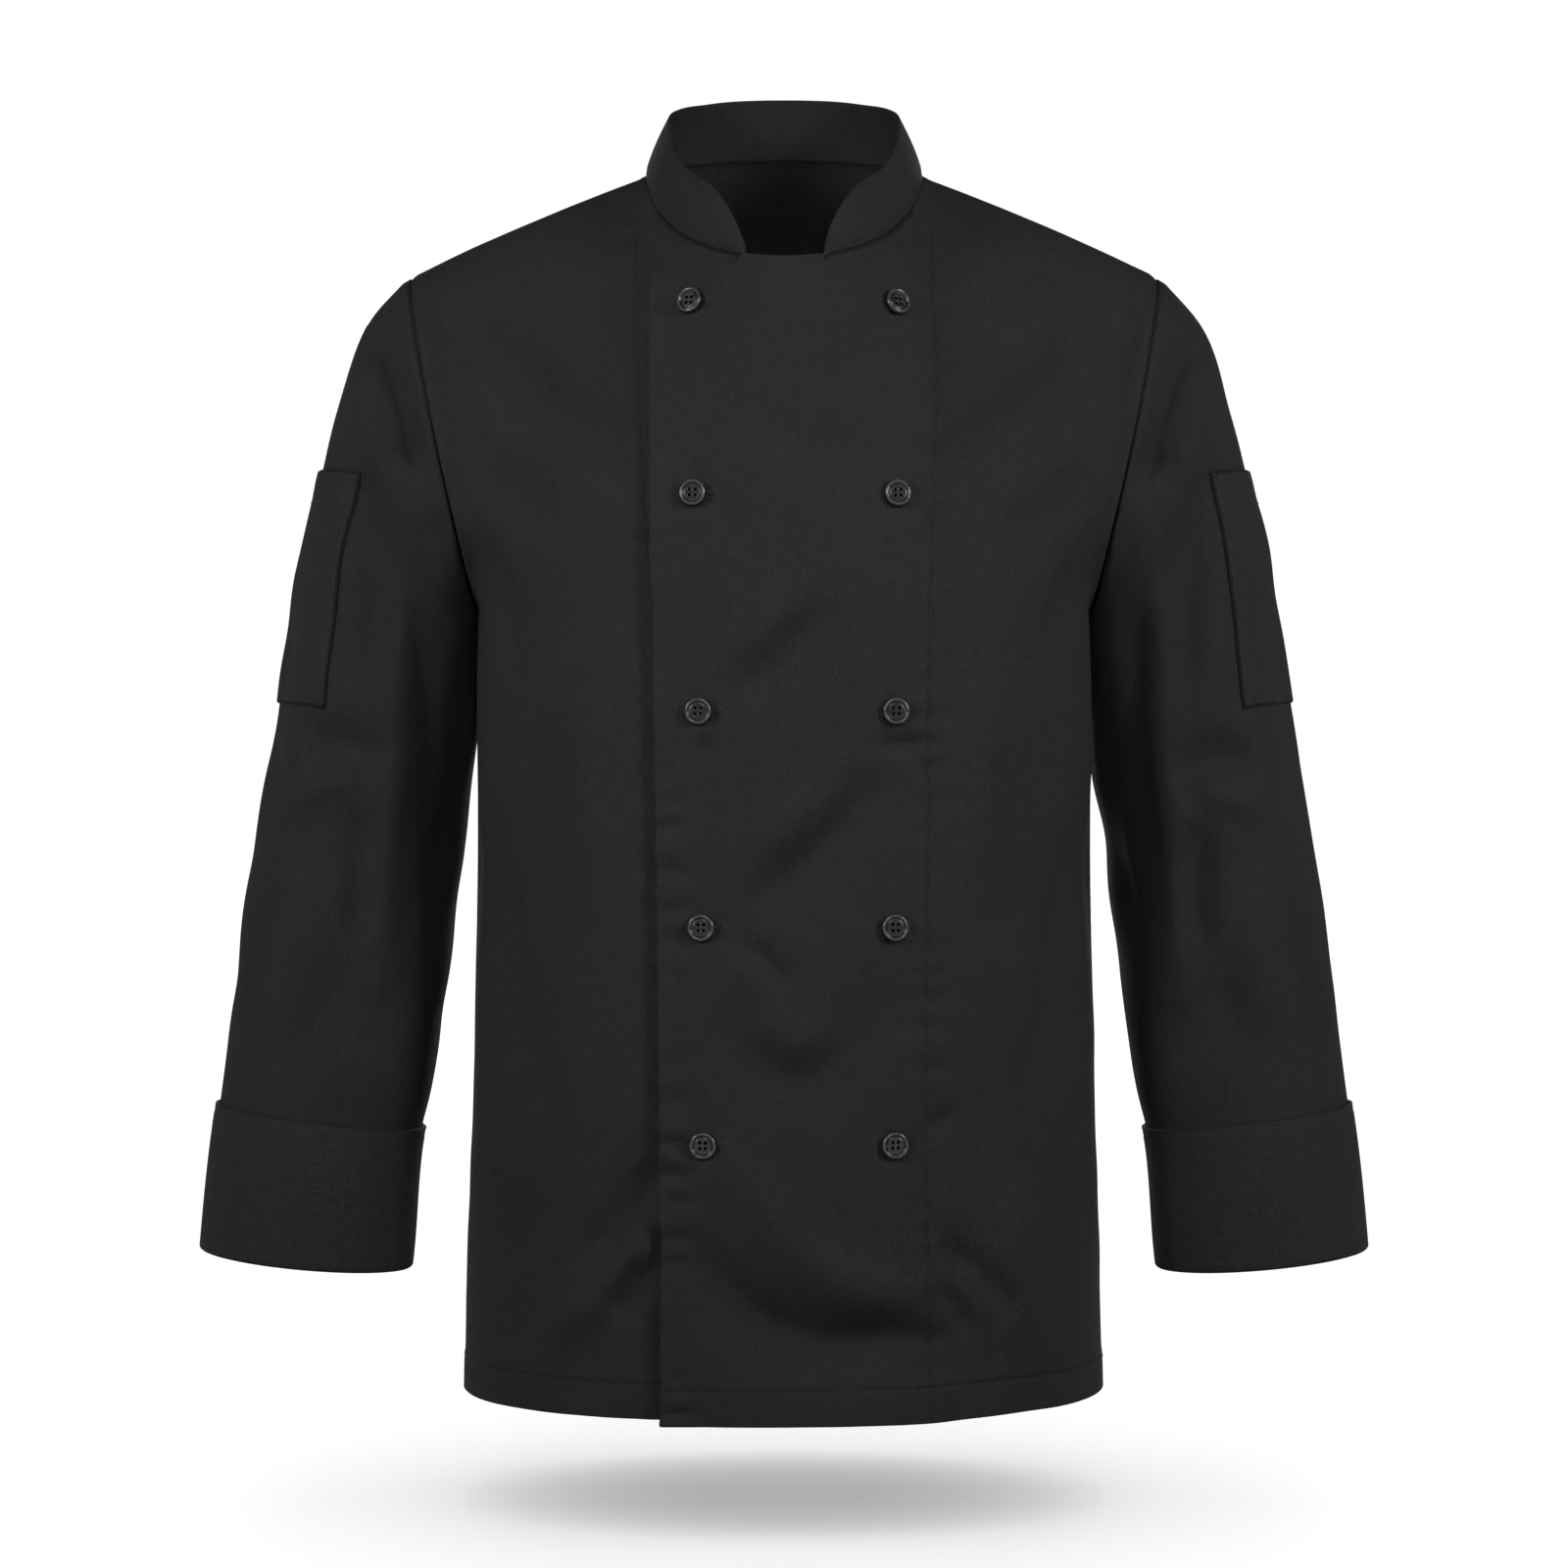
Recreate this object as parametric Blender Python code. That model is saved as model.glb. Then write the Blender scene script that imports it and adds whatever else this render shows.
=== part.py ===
"""Double-breasted chef jacket, hollow and filled out as worn, in metres with +Z up.

The origin is midway between the two neck points, where the collar meets the shoulder seams.
-Y is the front, and the wearer's left front (+X) laps over the right front (-X).
Each sewn piece is a cloth wall on its own named object. Pieces that share a seam are made from
the same seam points, each drawn back by half of SEAM_GAP.
"""

import math
from collections import namedtuple

import bmesh
import bpy
import numpy as np
from mathutils import Vector

# ---- driving dimensions -------------------------------------------------------------------

WALL = 0.0015  # body and sleeve cloth
COLLAR_WALL = 0.0020  # two layers and their stiffening
CUFF_WALL = 0.0022  # two layers
POCKET_WALL = 0.0015
SEAM_GAP = 0.0003
LAP_GAP = 0.0005  # between the two fronts where they lap
CUFF_GAP = 0.0006  # between a sleeve and the cuff turned back over it
MOST_MITRE = 2.0  # the wall's growth where two pieces fold sharply at a seam

HEM_Z = -0.7375
LAP_DROP = 0.0030  # the over front hangs this much lower
CHEST_Z = -0.2670  # level of the armpits
SIDE_Y = 0.0050  # the side seams' place front to back
ROUNDNESS = 0.85  # 1 is an ellipse, less is squarer

NECK_HALF = 0.0860
NECK_Y = 0.0100
NECK_FRONT = 0.1130
NECK_BACK = 0.0700
NECK_SLOPE = 0.46  # rise of the neckline towards the back
NECK_SAG = 0.15  # the front of the neckline falls this much more steeply than the mean

SHOULDER_X = 0.2290
SHOULDER_Z = -0.0660
ARMHOLE_SLOPE = 0.209  # the armhole's plane leans out towards the top
ARMHOLE_FRONT = 0.0660
ARMHOLE_BACK = 0.0620

COLLAR_HEIGHT = 0.0380
COLLAR_END = 0.0070  # height of the upright part of each front end
COLLAR_ROUND = 0.0450  # length over which an end rounds up to the full height
COLLAR_LEAN = (math.radians(8), math.radians(23))  # inwards: front and back, sides

LAP_TOP_Z = (-0.0700, -0.0755)  # the lap's level top edge: at the collar ends, at its corner
POCKET_COLUMNS = (8, 15)  # sleeve columns from the pocket's front edge to its back edge

BUTTON_RADIUS = 0.0080
BUTTON_RIM = 0.0013
BUTTON_HEIGHT = 0.0030
BUTTON_DISH = 0.0008
BUTTON_HOLE = 0.0011  # each hole's radius
BUTTON_HOLE_AT = 0.0016  # each hole's place across and along
BUTTON_HOLE_SIDES = 5
BUTTON_SIDES = 16

# How far round the front, from the centre (0) to the side seam (1), each line runs.
COLLAR_END_AT = 0.0545
LAP_EDGE_AT = 0.220
NECK_POINT_AT = 0.339
LAP_NARROWING = 0.13  # the lap's edge drifts towards the centre by this share at the hem

HEM_ROWS = 16  # rows of cloth from the hem to the chest
CHEST_ROWS = 9  # from the chest to the level of the lap's top
TOP_ROWS = 3  # from there to the neckline and shoulder seams
UPPER_ROWS = CHEST_ROWS + TOP_ROWS
BACK_NECK_STEPS = 4  # columns of the back from its centre to a neck point
SLEEVE_COLUMNS = 2 * UPPER_ROWS

Section = namedtuple("Section", "z half_width front_depth back_depth")
TORSO = (
    Section(-0.7375, 0.1948, 0.1300, 0.1270),
    Section(-0.6720, 0.1932, 0.1300, 0.1240),
    Section(-0.6120, 0.1912, 0.1300, 0.1210),
    Section(-0.5520, 0.1900, 0.1300, 0.1190),
    Section(-0.4920, 0.1890, 0.1300, 0.1180),
    Section(-0.4020, 0.1880, 0.1290, 0.1190),
    Section(-0.3300, 0.1878, 0.1280, 0.1210),
    Section(-0.2670, 0.1870, 0.1270, 0.1240),
)

# A sleeve ring runs from its outer point to its inner point, and droops between them.
Ring = namedtuple("Ring", "outer_x outer_z inner_x inner_z half_depth y droop twist rows")
SLEEVE = (
    Ring(0.2545, -0.0970, 0.1910, -0.2810, 0.0665, 0.010, 1.05, -1, 2),
    Ring(0.2725, -0.1480, 0.1930, -0.2920, 0.0665, 0.012, 1.20, -3, 2),
    Ring(0.2808, -0.1820, 0.1938, -0.3040, 0.0660, 0.014, 1.50, -4, 1),
    Ring(0.2965, -0.2520, 0.1942, -0.3350, 0.0650, 0.015, 1.30, -6, 2),
    Ring(0.3094, -0.3210, 0.1950, -0.3720, 0.0640, 0.014, 1.20, -8, 2),
    Ring(0.3240, -0.4020, 0.1975, -0.4180, 0.0630, 0.010, 1.00, -8, 2),
    Ring(0.3355, -0.4920, 0.2080, -0.5040, 0.0590, 0.002, 1.00, -8, 3),
    Ring(0.3415, -0.5480, 0.2165, -0.5625, 0.0560, -0.004, 1.00, -8, 2),
    Ring(0.3436, -0.5660, 0.2212, -0.5815, 0.0545, -0.006, 1.00, -8, 1),
    Ring(0.3522, -0.6510, 0.2286, -0.6635, 0.0530, -0.012, 1.00, -8, 3),
)
POCKET_RINGS = (2, 4)  # the rings at the pocket's top and bottom
CUFF_RING = 8  # the ring at the cuff's top edge

# A fold is a soft trough (depth below zero) or ridge between two places on the cloth.
# On the body a place is (x, z). On a sleeve it is (degrees from the inner point, z).
Fold = namedtuple("Fold", "start end width depth")
FRONT_FOLDS = (
    Fold((-0.205, -0.080), (-0.110, -0.170), 0.017, -0.0035),
    Fold((0.205, -0.090), (0.095, -0.190), 0.018, -0.0035),
    Fold((0.030, -0.262), (-0.035, -0.318), 0.014, -0.0028),
    Fold((0.062, -0.370), (-0.018, -0.455), 0.016, -0.0032),
    Fold((-0.040, -0.470), (0.055, -0.478), 0.016, 0.0030),
    Fold((-0.038, -0.505), (0.050, -0.520), 0.018, -0.0030),
    Fold((-0.060, -0.640), (0.075, -0.690), 0.020, -0.0034),
    Fold((-0.035, -0.600), (0.060, -0.655), 0.018, 0.0030),
    Fold((-0.085, -0.648), (-0.112, -0.690), 0.016, -0.0028),
    Fold((-0.170, -0.400), (-0.146, -0.560), 0.018, -0.0034),
    Fold((0.170, -0.395), (0.144, -0.550), 0.018, -0.0034),
)
BACK_FOLDS = (
    Fold((-0.195, -0.120), (-0.090, -0.230), 0.018, -0.0035),
    Fold((0.195, -0.130), (0.100, -0.225), 0.018, -0.0035),
    Fold((-0.120, -0.360), (0.030, -0.425), 0.020, -0.0036),
    Fold((0.130, -0.410), (0.010, -0.480), 0.018, -0.0034),
    Fold((-0.090, -0.540), (-0.070, -0.715), 0.020, -0.0036),
    Fold((0.085, -0.560), (0.075, -0.730), 0.020, 0.0034),
)
SLEEVE_FOLDS = (
    Fold((120, -0.175), (100, -0.270), 0.016, -0.0030),
    Fold((150, -0.385), (75, -0.365), 0.014, -0.0034),
    Fold((105, -0.405), (95, -0.490), 0.015, -0.0030),
    Fold((140, -0.480), (130, -0.560), 0.015, -0.0026),
    Fold((215, -0.360), (290, -0.385), 0.016, -0.0034),
    Fold((235, -0.430), (250, -0.540), 0.016, -0.0030),
)

CLOTH_COLOUR = (0.024, 0.024, 0.025, 1.0)
BUTTON_COLOUR = (0.010, 0.010, 0.011, 1.0)
BUTTON_ROWS_Z = (-0.0900, -0.2040, -0.3300, -0.4545, -0.5795)
BUTTON_COLUMNS_X = {"right": (-0.0545, -0.0526, -0.0493, -0.0476, -0.0465),
                    "left": (0.0660, 0.0655, 0.0644, 0.0638, 0.0638)}


# ---- curves ---------------------------------------------------------------------------------


def unit(vectors):
    """Each vector at length 1."""
    length = np.linalg.norm(vectors, axis=-1, keepdims=True)
    return vectors / np.maximum(length, 1e-12)


def ease(value):
    """0 below 0, 1 above 1 and smooth between."""
    value = min(1.0, max(0.0, value))
    return value * value * (3 - 2 * value)


def hermite(start, start_pull, end, end_pull, at):
    """The cubic from start to end with those end tangents."""
    square, cube = at * at, at * at * at
    return (
        (2 * cube - 3 * square + 1) * start
        + (cube - 2 * square + at) * start_pull
        + (3 * square - 2 * cube) * end
        + (cube - square) * end_pull
    )


def along(knots, values, at):
    """A smooth curve through the values, read at one place."""
    slopes = np.gradient(values, knots, axis=0)
    index = int(np.clip(np.searchsorted(knots, at) - 1, 0, len(knots) - 2))
    span = knots[index + 1] - knots[index]
    share = (at - knots[index]) / span
    return hermite(
        values[index], slopes[index] * span, values[index + 1], slopes[index + 1] * span, share
    )


TORSO_TABLE = np.array(TORSO)


def torso_point(around, z, side):
    """The body at a level: around runs from the centre (0) to a side seam (1 or -1)."""
    _, half_width, front, back = along(TORSO_TABLE[:, 0], TORSO_TABLE, z)
    angle = abs(around) * math.pi / 2
    x = math.copysign(half_width * math.sin(angle) ** ROUNDNESS, around)
    depth = front if side < 0 else back
    y = SIDE_Y + side * depth * abs(math.cos(angle)) ** ROUNDNESS
    return np.array([x, y, z])


def neckline(turn):
    """The collar seam, from the centre front (0) past the neck point (1) to the back (2)."""
    angle = abs(turn) * math.pi / 2
    forward = math.cos(angle)
    y = NECK_Y - forward * (NECK_FRONT if forward > 0 else NECK_BACK)
    back = y - NECK_Y
    z = NECK_SLOPE * back - NECK_SAG * (math.hypot(back, 0.015) - 0.015)
    return np.array([math.copysign(NECK_HALF * math.sin(angle) ** 0.95, turn), y, z])


def shoulder_tip(sign):
    return np.array([sign * SHOULDER_X, NECK_Y, SHOULDER_Z])


def armhole(height, side, sign):
    """The armhole seam, from the armpit (0) to the shoulder tip (1), front or back."""
    angle = height * math.pi
    half_height = (SHOULDER_Z - CHEST_Z) / 2
    z = (SHOULDER_Z + CHEST_Z) / 2 - half_height * math.cos(angle)
    depth = ARMHOLE_FRONT if side < 0 else ARMHOLE_BACK
    y = SIDE_Y + (NECK_Y - SIDE_Y) * height + side * depth * math.sin(angle)
    return np.array([sign * (SHOULDER_X - ARMHOLE_SLOPE * (SHOULDER_Z - z)), y, z])


def body_top(around, side):
    """Where a column of the body ends: on the neckline, or on a shoulder seam."""
    sign = math.copysign(1.0, around)
    share = abs(around) / NECK_POINT_AT
    if share <= 1:
        turn = share if side < 0 else 2 - share
        return neckline(sign * turn)
    share = (abs(around) - NECK_POINT_AT) / (1 - NECK_POINT_AT)
    start, end = neckline(sign), shoulder_tip(sign)
    crown = 0.004 * math.sin(math.pi * share)
    return start + (end - start) * share + np.array([0, 0, crown])


def top_pull(around, side):
    """The cloth's direction as it reaches the neckline or the shoulder seam."""
    sign = math.copysign(1.0, around)
    centre = np.array([0.0, -side * 0.20, 0.98])
    neck = np.array([-0.10 * sign, -side * 0.80, 0.60])
    tip = np.array([0.0, -side * 0.95, 0.30])
    share = abs(around) / NECK_POINT_AT
    if share <= 1:
        return unit(centre + (neck - centre) * ease(share) ** 1.5)
    return unit(neck + (tip - neck) * (abs(around) - NECK_POINT_AT) / (1 - NECK_POINT_AT))


def upper_column(around, height, side):
    start = torso_point(around, CHEST_Z, side)
    below = torso_point(around, CHEST_Z - 0.01, side)
    end = body_top(around, side)
    reach = np.linalg.norm(end - start)
    return hermite(
        start, unit(start - below) * reach, end, top_pull(around, side) * reach * 0.8, height
    )


def upper_point(around, height, side):
    """The body above the chest: height runs from the chest (0) to the top seams (1)."""
    sign = math.copysign(1.0, around)
    miss = armhole(height, side, sign) - upper_column(sign, height, side)
    return upper_column(around, height, side) + miss * abs(around) ** 4


# ---- folds ----------------------------------------------------------------------------------


def fold_height(folds, across, up, metres_per_unit=1.0):
    """The sum of the folds at one place on the cloth."""
    total = 0.0
    for fold in folds:
        start = np.array(fold.start) * (metres_per_unit, 1.0)
        end = np.array(fold.end) * (metres_per_unit, 1.0)
        line = end - start
        offset = np.array([across * metres_per_unit, up]) - start
        share = np.dot(offset, line) / np.dot(line, line)
        away = np.linalg.norm(offset - line * min(1.0, max(0.0, share)))
        fade = ease(1.25 - abs(2 * share - 1))
        total += fold.depth * fade * math.exp(-((away / fold.width) ** 2))
    return total


# ---- pieces of cloth ------------------------------------------------------------------------


class Cloth:
    """A grid of points on a piece's outer side, with what its seams do to them."""

    def __init__(self, name, points, outward_from, wall=WALL, closed=False, keep=None):
        self.name, self.points, self.wall, self.closed = name, points, wall, closed
        self.keep = keep if keep is not None else (lambda row, column: True)
        self.outward_from = outward_from
        self.shift = np.zeros_like(points)
        self.growth = np.ones(points.shape[:2])
        self.normals = self.find_normals()

    def find_normals(self):
        """Outward unit normals, each the mean of the kept faces by their angles at the point."""
        total = np.zeros_like(self.points)
        self.angles = np.zeros(self.points.shape[:2])
        for cell in self.cells():
            corners = self.corners(*cell)
            a, b, c, d = places = [self.points[corner] for corner in corners]
            normal = unit(np.cross(c - a, d - b))
            for step, corner in enumerate(corners):
                before = unit(places[step - 1] - places[step])
                after = unit(places[(step + 1) % 4] - places[step])
                angle = math.acos(float(np.clip(np.dot(before, after), -1, 1)))
                total[corner] += normal * angle
                self.angles[corner] += angle
        if np.sum(total * (self.points - self.outward_from)) < 0:
            total = -total
        return unit(total)

    def cells(self):
        rows, columns = self.points.shape[:2]
        for row in range(rows - 1):
            for column in range(columns if self.closed else columns - 1):
                if self.keep(row, column):
                    yield row, column

    def corners(self, row, column):
        after = (column + 1) % self.points.shape[1]
        return (row, column), (row, after), (row + 1, after), (row + 1, column)

    def raise_by(self, heights):
        self.points = self.points + self.normals * heights[..., None]
        self.normals = self.find_normals()


Seam = namedtuple("Seam", "first first_cells second second_cells")


def join(seams):
    """Gives the pieces at each seam one shared normal, and draws each back by half the gap."""
    meeting = {}
    for seam in seams:
        for piece, cells in ((seam.first, seam.first_cells), (seam.second, seam.second_cells)):
            for cell in cells:
                key = tuple(np.round(piece.points[cell], 6))
                meeting.setdefault(key, {})[(piece.name, cell)] = piece
    shared = {
        key: unit(sum(piece.normals[cell] * piece.angles[cell] for (_, cell), piece in at.items()))
        for key, at in meeting.items()
    }
    for seam in seams:
        line = np.array([seam.first.points[cell] for cell in seam.first_cells])
        direction = np.gradient(line, axis=0)
        for place, point in enumerate(line):
            sideways = unit(np.cross(direction[place], shared[tuple(np.round(point, 6))]))
            for piece, cells in ((seam.first, seam.first_cells), (seam.second, seam.second_cells)):
                inwards = inside_of(piece, cells[place]) - piece.points[cells[place]]
                toward = math.copysign(1.0, float(np.dot(inwards, sideways)))
                piece.shift[cells[place]] += sideways * toward * SEAM_GAP / 2
    for key, pieces in meeting.items():
        for (_, cell), piece in pieces.items():
            facing = max(1 / MOST_MITRE, float(np.dot(shared[key], piece.normals[cell])))
            piece.growth[cell] = 1 / facing
            piece.normals[cell] = shared[key]


def inside_of(piece, cell):
    """The middle of the faces round a seam point."""
    found = []
    for corner_cell in piece.cells():
        corners = piece.corners(*corner_cell)
        if cell in corners:
            found.append(np.mean([piece.points[corner] for corner in corners], axis=0))
    return np.mean(found, axis=0)


def cloth_material(name, colour, roughness):
    material = bpy.data.materials.new(name)
    material.use_nodes = True
    shader = material.node_tree.nodes["Principled BSDF"]
    shader.inputs["Base Color"].default_value = colour
    shader.inputs["Roughness"].default_value = roughness
    shader.inputs["Metallic"].default_value = 0.0
    return material


def add_object(name, points, faces, colour=CLOTH_COLOUR, roughness=0.85):
    """One closed mesh object with its faces pointing out."""
    mesh = bpy.data.meshes.new(name)
    mesh.from_pydata([tuple(point) for point in points], [], faces)
    solid = bmesh.new()
    solid.from_mesh(mesh)
    bmesh.ops.remove_doubles(solid, verts=solid.verts, dist=1e-6)
    bmesh.ops.triangulate(solid, faces=solid.faces)
    bmesh.ops.recalc_face_normals(solid, faces=solid.faces)
    solid.to_mesh(mesh)
    solid.free()
    mesh.shade_smooth()
    mesh.set_sharp_from_angle(angle=math.radians(40))
    mesh.materials.append(cloth_material(name, colour, roughness))
    made = bpy.data.objects.new(name, mesh)
    bpy.context.scene.collection.objects.link(made)
    return made


def add_cloth(piece):
    """Turns a grid into a wall: its outer side, its inner side and the strip round each edge."""
    outer = piece.points + piece.shift
    inner = outer - piece.normals * (piece.wall * piece.growth)[..., None]
    rows, columns = outer.shape[:2]
    points = list(outer.reshape(-1, 3)) + list(inner.reshape(-1, 3))
    count = rows * columns
    faces, edges = [], set()
    for cell in piece.cells():
        ring = [row * columns + column for row, column in piece.corners(*cell)]
        faces.append(ring)
        faces.append([count + index for index in reversed(ring)])
        for first, second in zip(ring, ring[1:] + ring[:1]):
            if (second, first) in edges:
                edges.remove((second, first))
            else:
                edges.add((first, second))
    for first, second in sorted(edges):
        faces.append([second, first, count + first, count + second])
    used = sorted({index for face in faces for index in face})
    place = {index: new for new, index in enumerate(used)}
    faces = [[place[index] for index in face] for face in faces]
    return add_object(piece.name, [points[index] for index in used], faces)


# ---- the body -------------------------------------------------------------------------------


def stations():
    """Columns of the front's right half, from the centre to the side seam."""
    lap = [COLLAR_END_AT + (LAP_EDGE_AT - COLLAR_END_AT) * share for share in (0, 0.14, 0.38, 0.68)]
    neck = [LAP_EDGE_AT, (LAP_EDGE_AT + NECK_POINT_AT) / 2]
    shoulder = [NECK_POINT_AT + (1 - NECK_POINT_AT) * step / 6 for step in range(7)]
    return [0.0] + lap + neck + shoulder


HALF = stations()
COLUMNS = [-place for place in reversed(HALF[1:])] + HALF
CENTRE = len(HALF) - 1
COLLAR_STEP = HALF.index(COLLAR_END_AT)
LAP_STEP = HALF.index(LAP_EDGE_AT)
NECK_STEP = HALF.index(NECK_POINT_AT)


def lap_level(around):
    """The height share at which the lap's level top edge crosses a column."""
    place = abs(around)
    if place <= COLLAR_END_AT + 1e-9:
        return 1.0
    level = LAP_TOP_Z[0] + (LAP_TOP_Z[1] - LAP_TOP_Z[0]) * (place - COLLAR_END_AT) / (
        LAP_EDGE_AT - COLLAR_END_AT
    )
    low, high = 0.5, 1.0
    for _ in range(30):
        middle = (low + high) / 2
        if upper_point(place, middle, -1)[2] < level:
            low = middle
        else:
            high = middle
    return low


LEVEL_AT_LAP = lap_level(LAP_EDGE_AT)


def level_of(around):
    place = abs(around)
    if place <= LAP_EDGE_AT:
        return lap_level(place)
    side_level = CHEST_ROWS / UPPER_ROWS
    return LEVEL_AT_LAP + (side_level - LEVEL_AT_LAP) * (place - LAP_EDGE_AT) / (1 - LAP_EDGE_AT)


def front_point(row, around):
    if row <= HEM_ROWS:
        share = row / HEM_ROWS
        z = HEM_Z + (CHEST_Z - HEM_Z) * share
        scale = 1 - LAP_NARROWING * (1 - share)
        return torso_point(around * (scale + (1 - scale) * around * around), z, -1)
    level = level_of(around)
    if row <= HEM_ROWS + CHEST_ROWS:
        return upper_point(around, level * (row - HEM_ROWS) / CHEST_ROWS, -1)
    return upper_point(around, level + (1 - level) * (row - HEM_ROWS - CHEST_ROWS) / TOP_ROWS, -1)


def back_point(row, around):
    if row <= HEM_ROWS:
        return torso_point(around, HEM_Z + (CHEST_Z - HEM_Z) * row / HEM_ROWS, 1)
    return upper_point(around, (row - HEM_ROWS) / UPPER_ROWS, 1)


def fold_heights(points, folds, columns):
    """Fold heights on a body grid, fading out at its seams."""
    rows = points.shape[0]
    heights = np.zeros(points.shape[:2])
    for row in range(rows):
        top_fade = ease((rows - 1 - row) / 2.5)
        for column, around in enumerate(columns):
            x, _, z = points[row, column]
            side_fade = ease((1 - abs(around)) / 0.18)
            heights[row, column] = fold_height(folds, x, z) * top_fade * side_fade
    return heights


def lap_heights(points):
    """How far the over front stands off the surface that the under front lies on."""
    step = WALL + LAP_GAP
    heights = np.zeros(points.shape[:2])
    for cell in np.ndindex(heights.shape):
        x, _, z = points[cell]
        heights[cell] = step * ease((0.105 - x) / 0.022) * ease((-0.030 - z) / 0.030)
    return heights


def make_body():
    all_rows = HEM_ROWS + UPPER_ROWS + 1
    base = np.array([[front_point(row, place) for place in COLUMNS] for row in range(all_rows)])
    axis = np.zeros_like(base)
    axis[..., 2] = base[..., 2]
    whole = Cloth("front_surface", base, axis)
    whole.raise_by(fold_heights(base, FRONT_FOLDS, COLUMNS))
    lapped = Cloth("lapped_surface", whole.points, axis)
    lapped.raise_by(lap_heights(whole.points))
    drop = np.array([LAP_DROP * ease((0.6 - place) / 0.5) for place in COLUMNS])
    lapped.points[0, :, 2] -= drop

    over_from = CENTRE - LAP_STEP
    under_to = CENTRE + LAP_STEP
    level_row = HEM_ROWS + CHEST_ROWS
    over = Cloth(
        "left_front",
        lapped.points[:, over_from:],
        axis[:, over_from:],
        keep=lambda row, column: row < level_row or column + over_from >= CENTRE + COLLAR_STEP,
    )
    under = Cloth(
        "right_front",
        whole.points[:, : under_to + 1],
        axis[:, : under_to + 1],
        keep=lambda row, column: row < level_row or column < CENTRE - COLLAR_STEP,
    )
    neck = [NECK_POINT_AT * step / BACK_NECK_STEPS for step in range(BACK_NECK_STEPS + 1)]
    back_half = neck + HALF[NECK_STEP + 1 :]
    back_columns = [-place for place in reversed(back_half[1:])] + back_half
    rear = np.array([[back_point(row, place) for place in back_columns] for row in range(all_rows)])
    rear_axis = np.zeros_like(rear)
    rear_axis[..., 2] = rear[..., 2] - 0.02
    back = Cloth("back", rear, rear_axis)
    back.raise_by(fold_heights(rear, BACK_FOLDS, back_columns))
    return under, over, back


def make_collar(under, over, back):
    """One band on the whole neckline, from the under front round the back to the over front."""
    top = under.points.shape[0] - 1
    middle = back.points.shape[1] // 2
    over_centre = over.points.shape[1] - 1 - CENTRE
    half_steps = range(COLLAR_STEP, NECK_STEP + 1)
    right = [under.points[top, CENTRE - step] for step in half_steps]
    rear = [back.points[top, middle + step] for step in range(-BACK_NECK_STEPS, BACK_NECK_STEPS + 1)]
    left = [over.points[top, over_centre + step] for step in reversed(half_steps)]
    base = np.array(right + rear[1:-1] + left)
    steps = np.linalg.norm(np.diff(base, axis=0), axis=1)
    travelled = np.concatenate([[0], np.cumsum(steps)])
    rows = []
    for share in (0.0, 0.25, 0.5, 0.75, 1.0):
        row = []
        for point, gone in zip(base, travelled):
            row.append(collar_point(point, min(gone, travelled[-1] - gone), share))
        rows.append(row)
    points = np.array(rows)
    axis = np.zeros_like(points)
    axis[..., 1] = NECK_Y
    axis[..., 2] = points[..., 2]
    collar = Cloth("collar", points, axis, wall=COLLAR_WALL)
    count = len(base)
    front = len(right)
    rear_places = range(2 * BACK_NECK_STEPS + 1)
    seams = [
        Seam(collar, [(0, place) for place in range(front)],
             under, [(top, CENTRE - COLLAR_STEP - place) for place in range(front)]),
        Seam(collar, [(0, front - 1 + place) for place in rear_places],
             back, [(top, middle - BACK_NECK_STEPS + place) for place in rear_places]),
        Seam(collar, [(0, count - front + place) for place in range(front)],
             over, [(top, over_centre + NECK_STEP - place) for place in range(front)]),
    ]
    return collar, seams


def collar_point(base, from_end, share):
    """A point of the collar above its seam: it leans in, and its front ends are rounded."""
    outwards = unit(np.array([base[0], base[1] - NECK_Y, 0.0]))
    lean = COLLAR_LEAN[0] + (COLLAR_LEAN[1] - COLLAR_LEAN[0]) * outwards[0] ** 2
    rounding = min(1.0, from_end / COLLAR_ROUND)
    curve = 1 - (1 - rounding) ** 3
    height = COLLAR_END + (COLLAR_HEIGHT - COLLAR_END) * curve
    up = np.array([0.0, 0.0, math.cos(lean)]) - outwards * math.sin(lean)
    return base + up * height * share


def body_seams(under, over, back):
    """Side seams and shoulder seams."""
    top = under.points.shape[0] - 1
    last_back = back.points.shape[1] - 1
    last_over = over.points.shape[1] - 1
    shoulder = len(HALF) - 1 - NECK_STEP
    chest = range(HEM_ROWS + 1)
    return [
        Seam(under, [(row, 0) for row in chest], back, [(row, 0) for row in chest]),
        Seam(over, [(row, last_over) for row in chest], back, [(row, last_back) for row in chest]),
        Seam(under, [(top, step) for step in range(shoulder + 1)],
             back, [(top, step) for step in range(shoulder + 1)]),
        Seam(over, [(top, last_over - step) for step in range(shoulder + 1)],
             back, [(top, last_back - step) for step in range(shoulder + 1)]),
    ]


# ---- sleeves, cuffs and pockets -------------------------------------------------------------


def ring_points(ring, sign):
    """The points of one sleeve ring: from the inner point by the front to the outer point."""
    points = []
    for step in range(SLEEVE_COLUMNS):
        angle = 2 * math.pi * step / SLEEVE_COLUMNS + math.radians(ring.twist)
        inwards = (1 + math.cos(angle)) / 2
        x = ring.outer_x + (ring.inner_x - ring.outer_x) * inwards
        z = ring.outer_z + (ring.inner_z - ring.outer_z) * inwards**ring.droop
        points.append((sign * x, ring.y - ring.half_depth * math.sin(angle), z))
    return points


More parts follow.
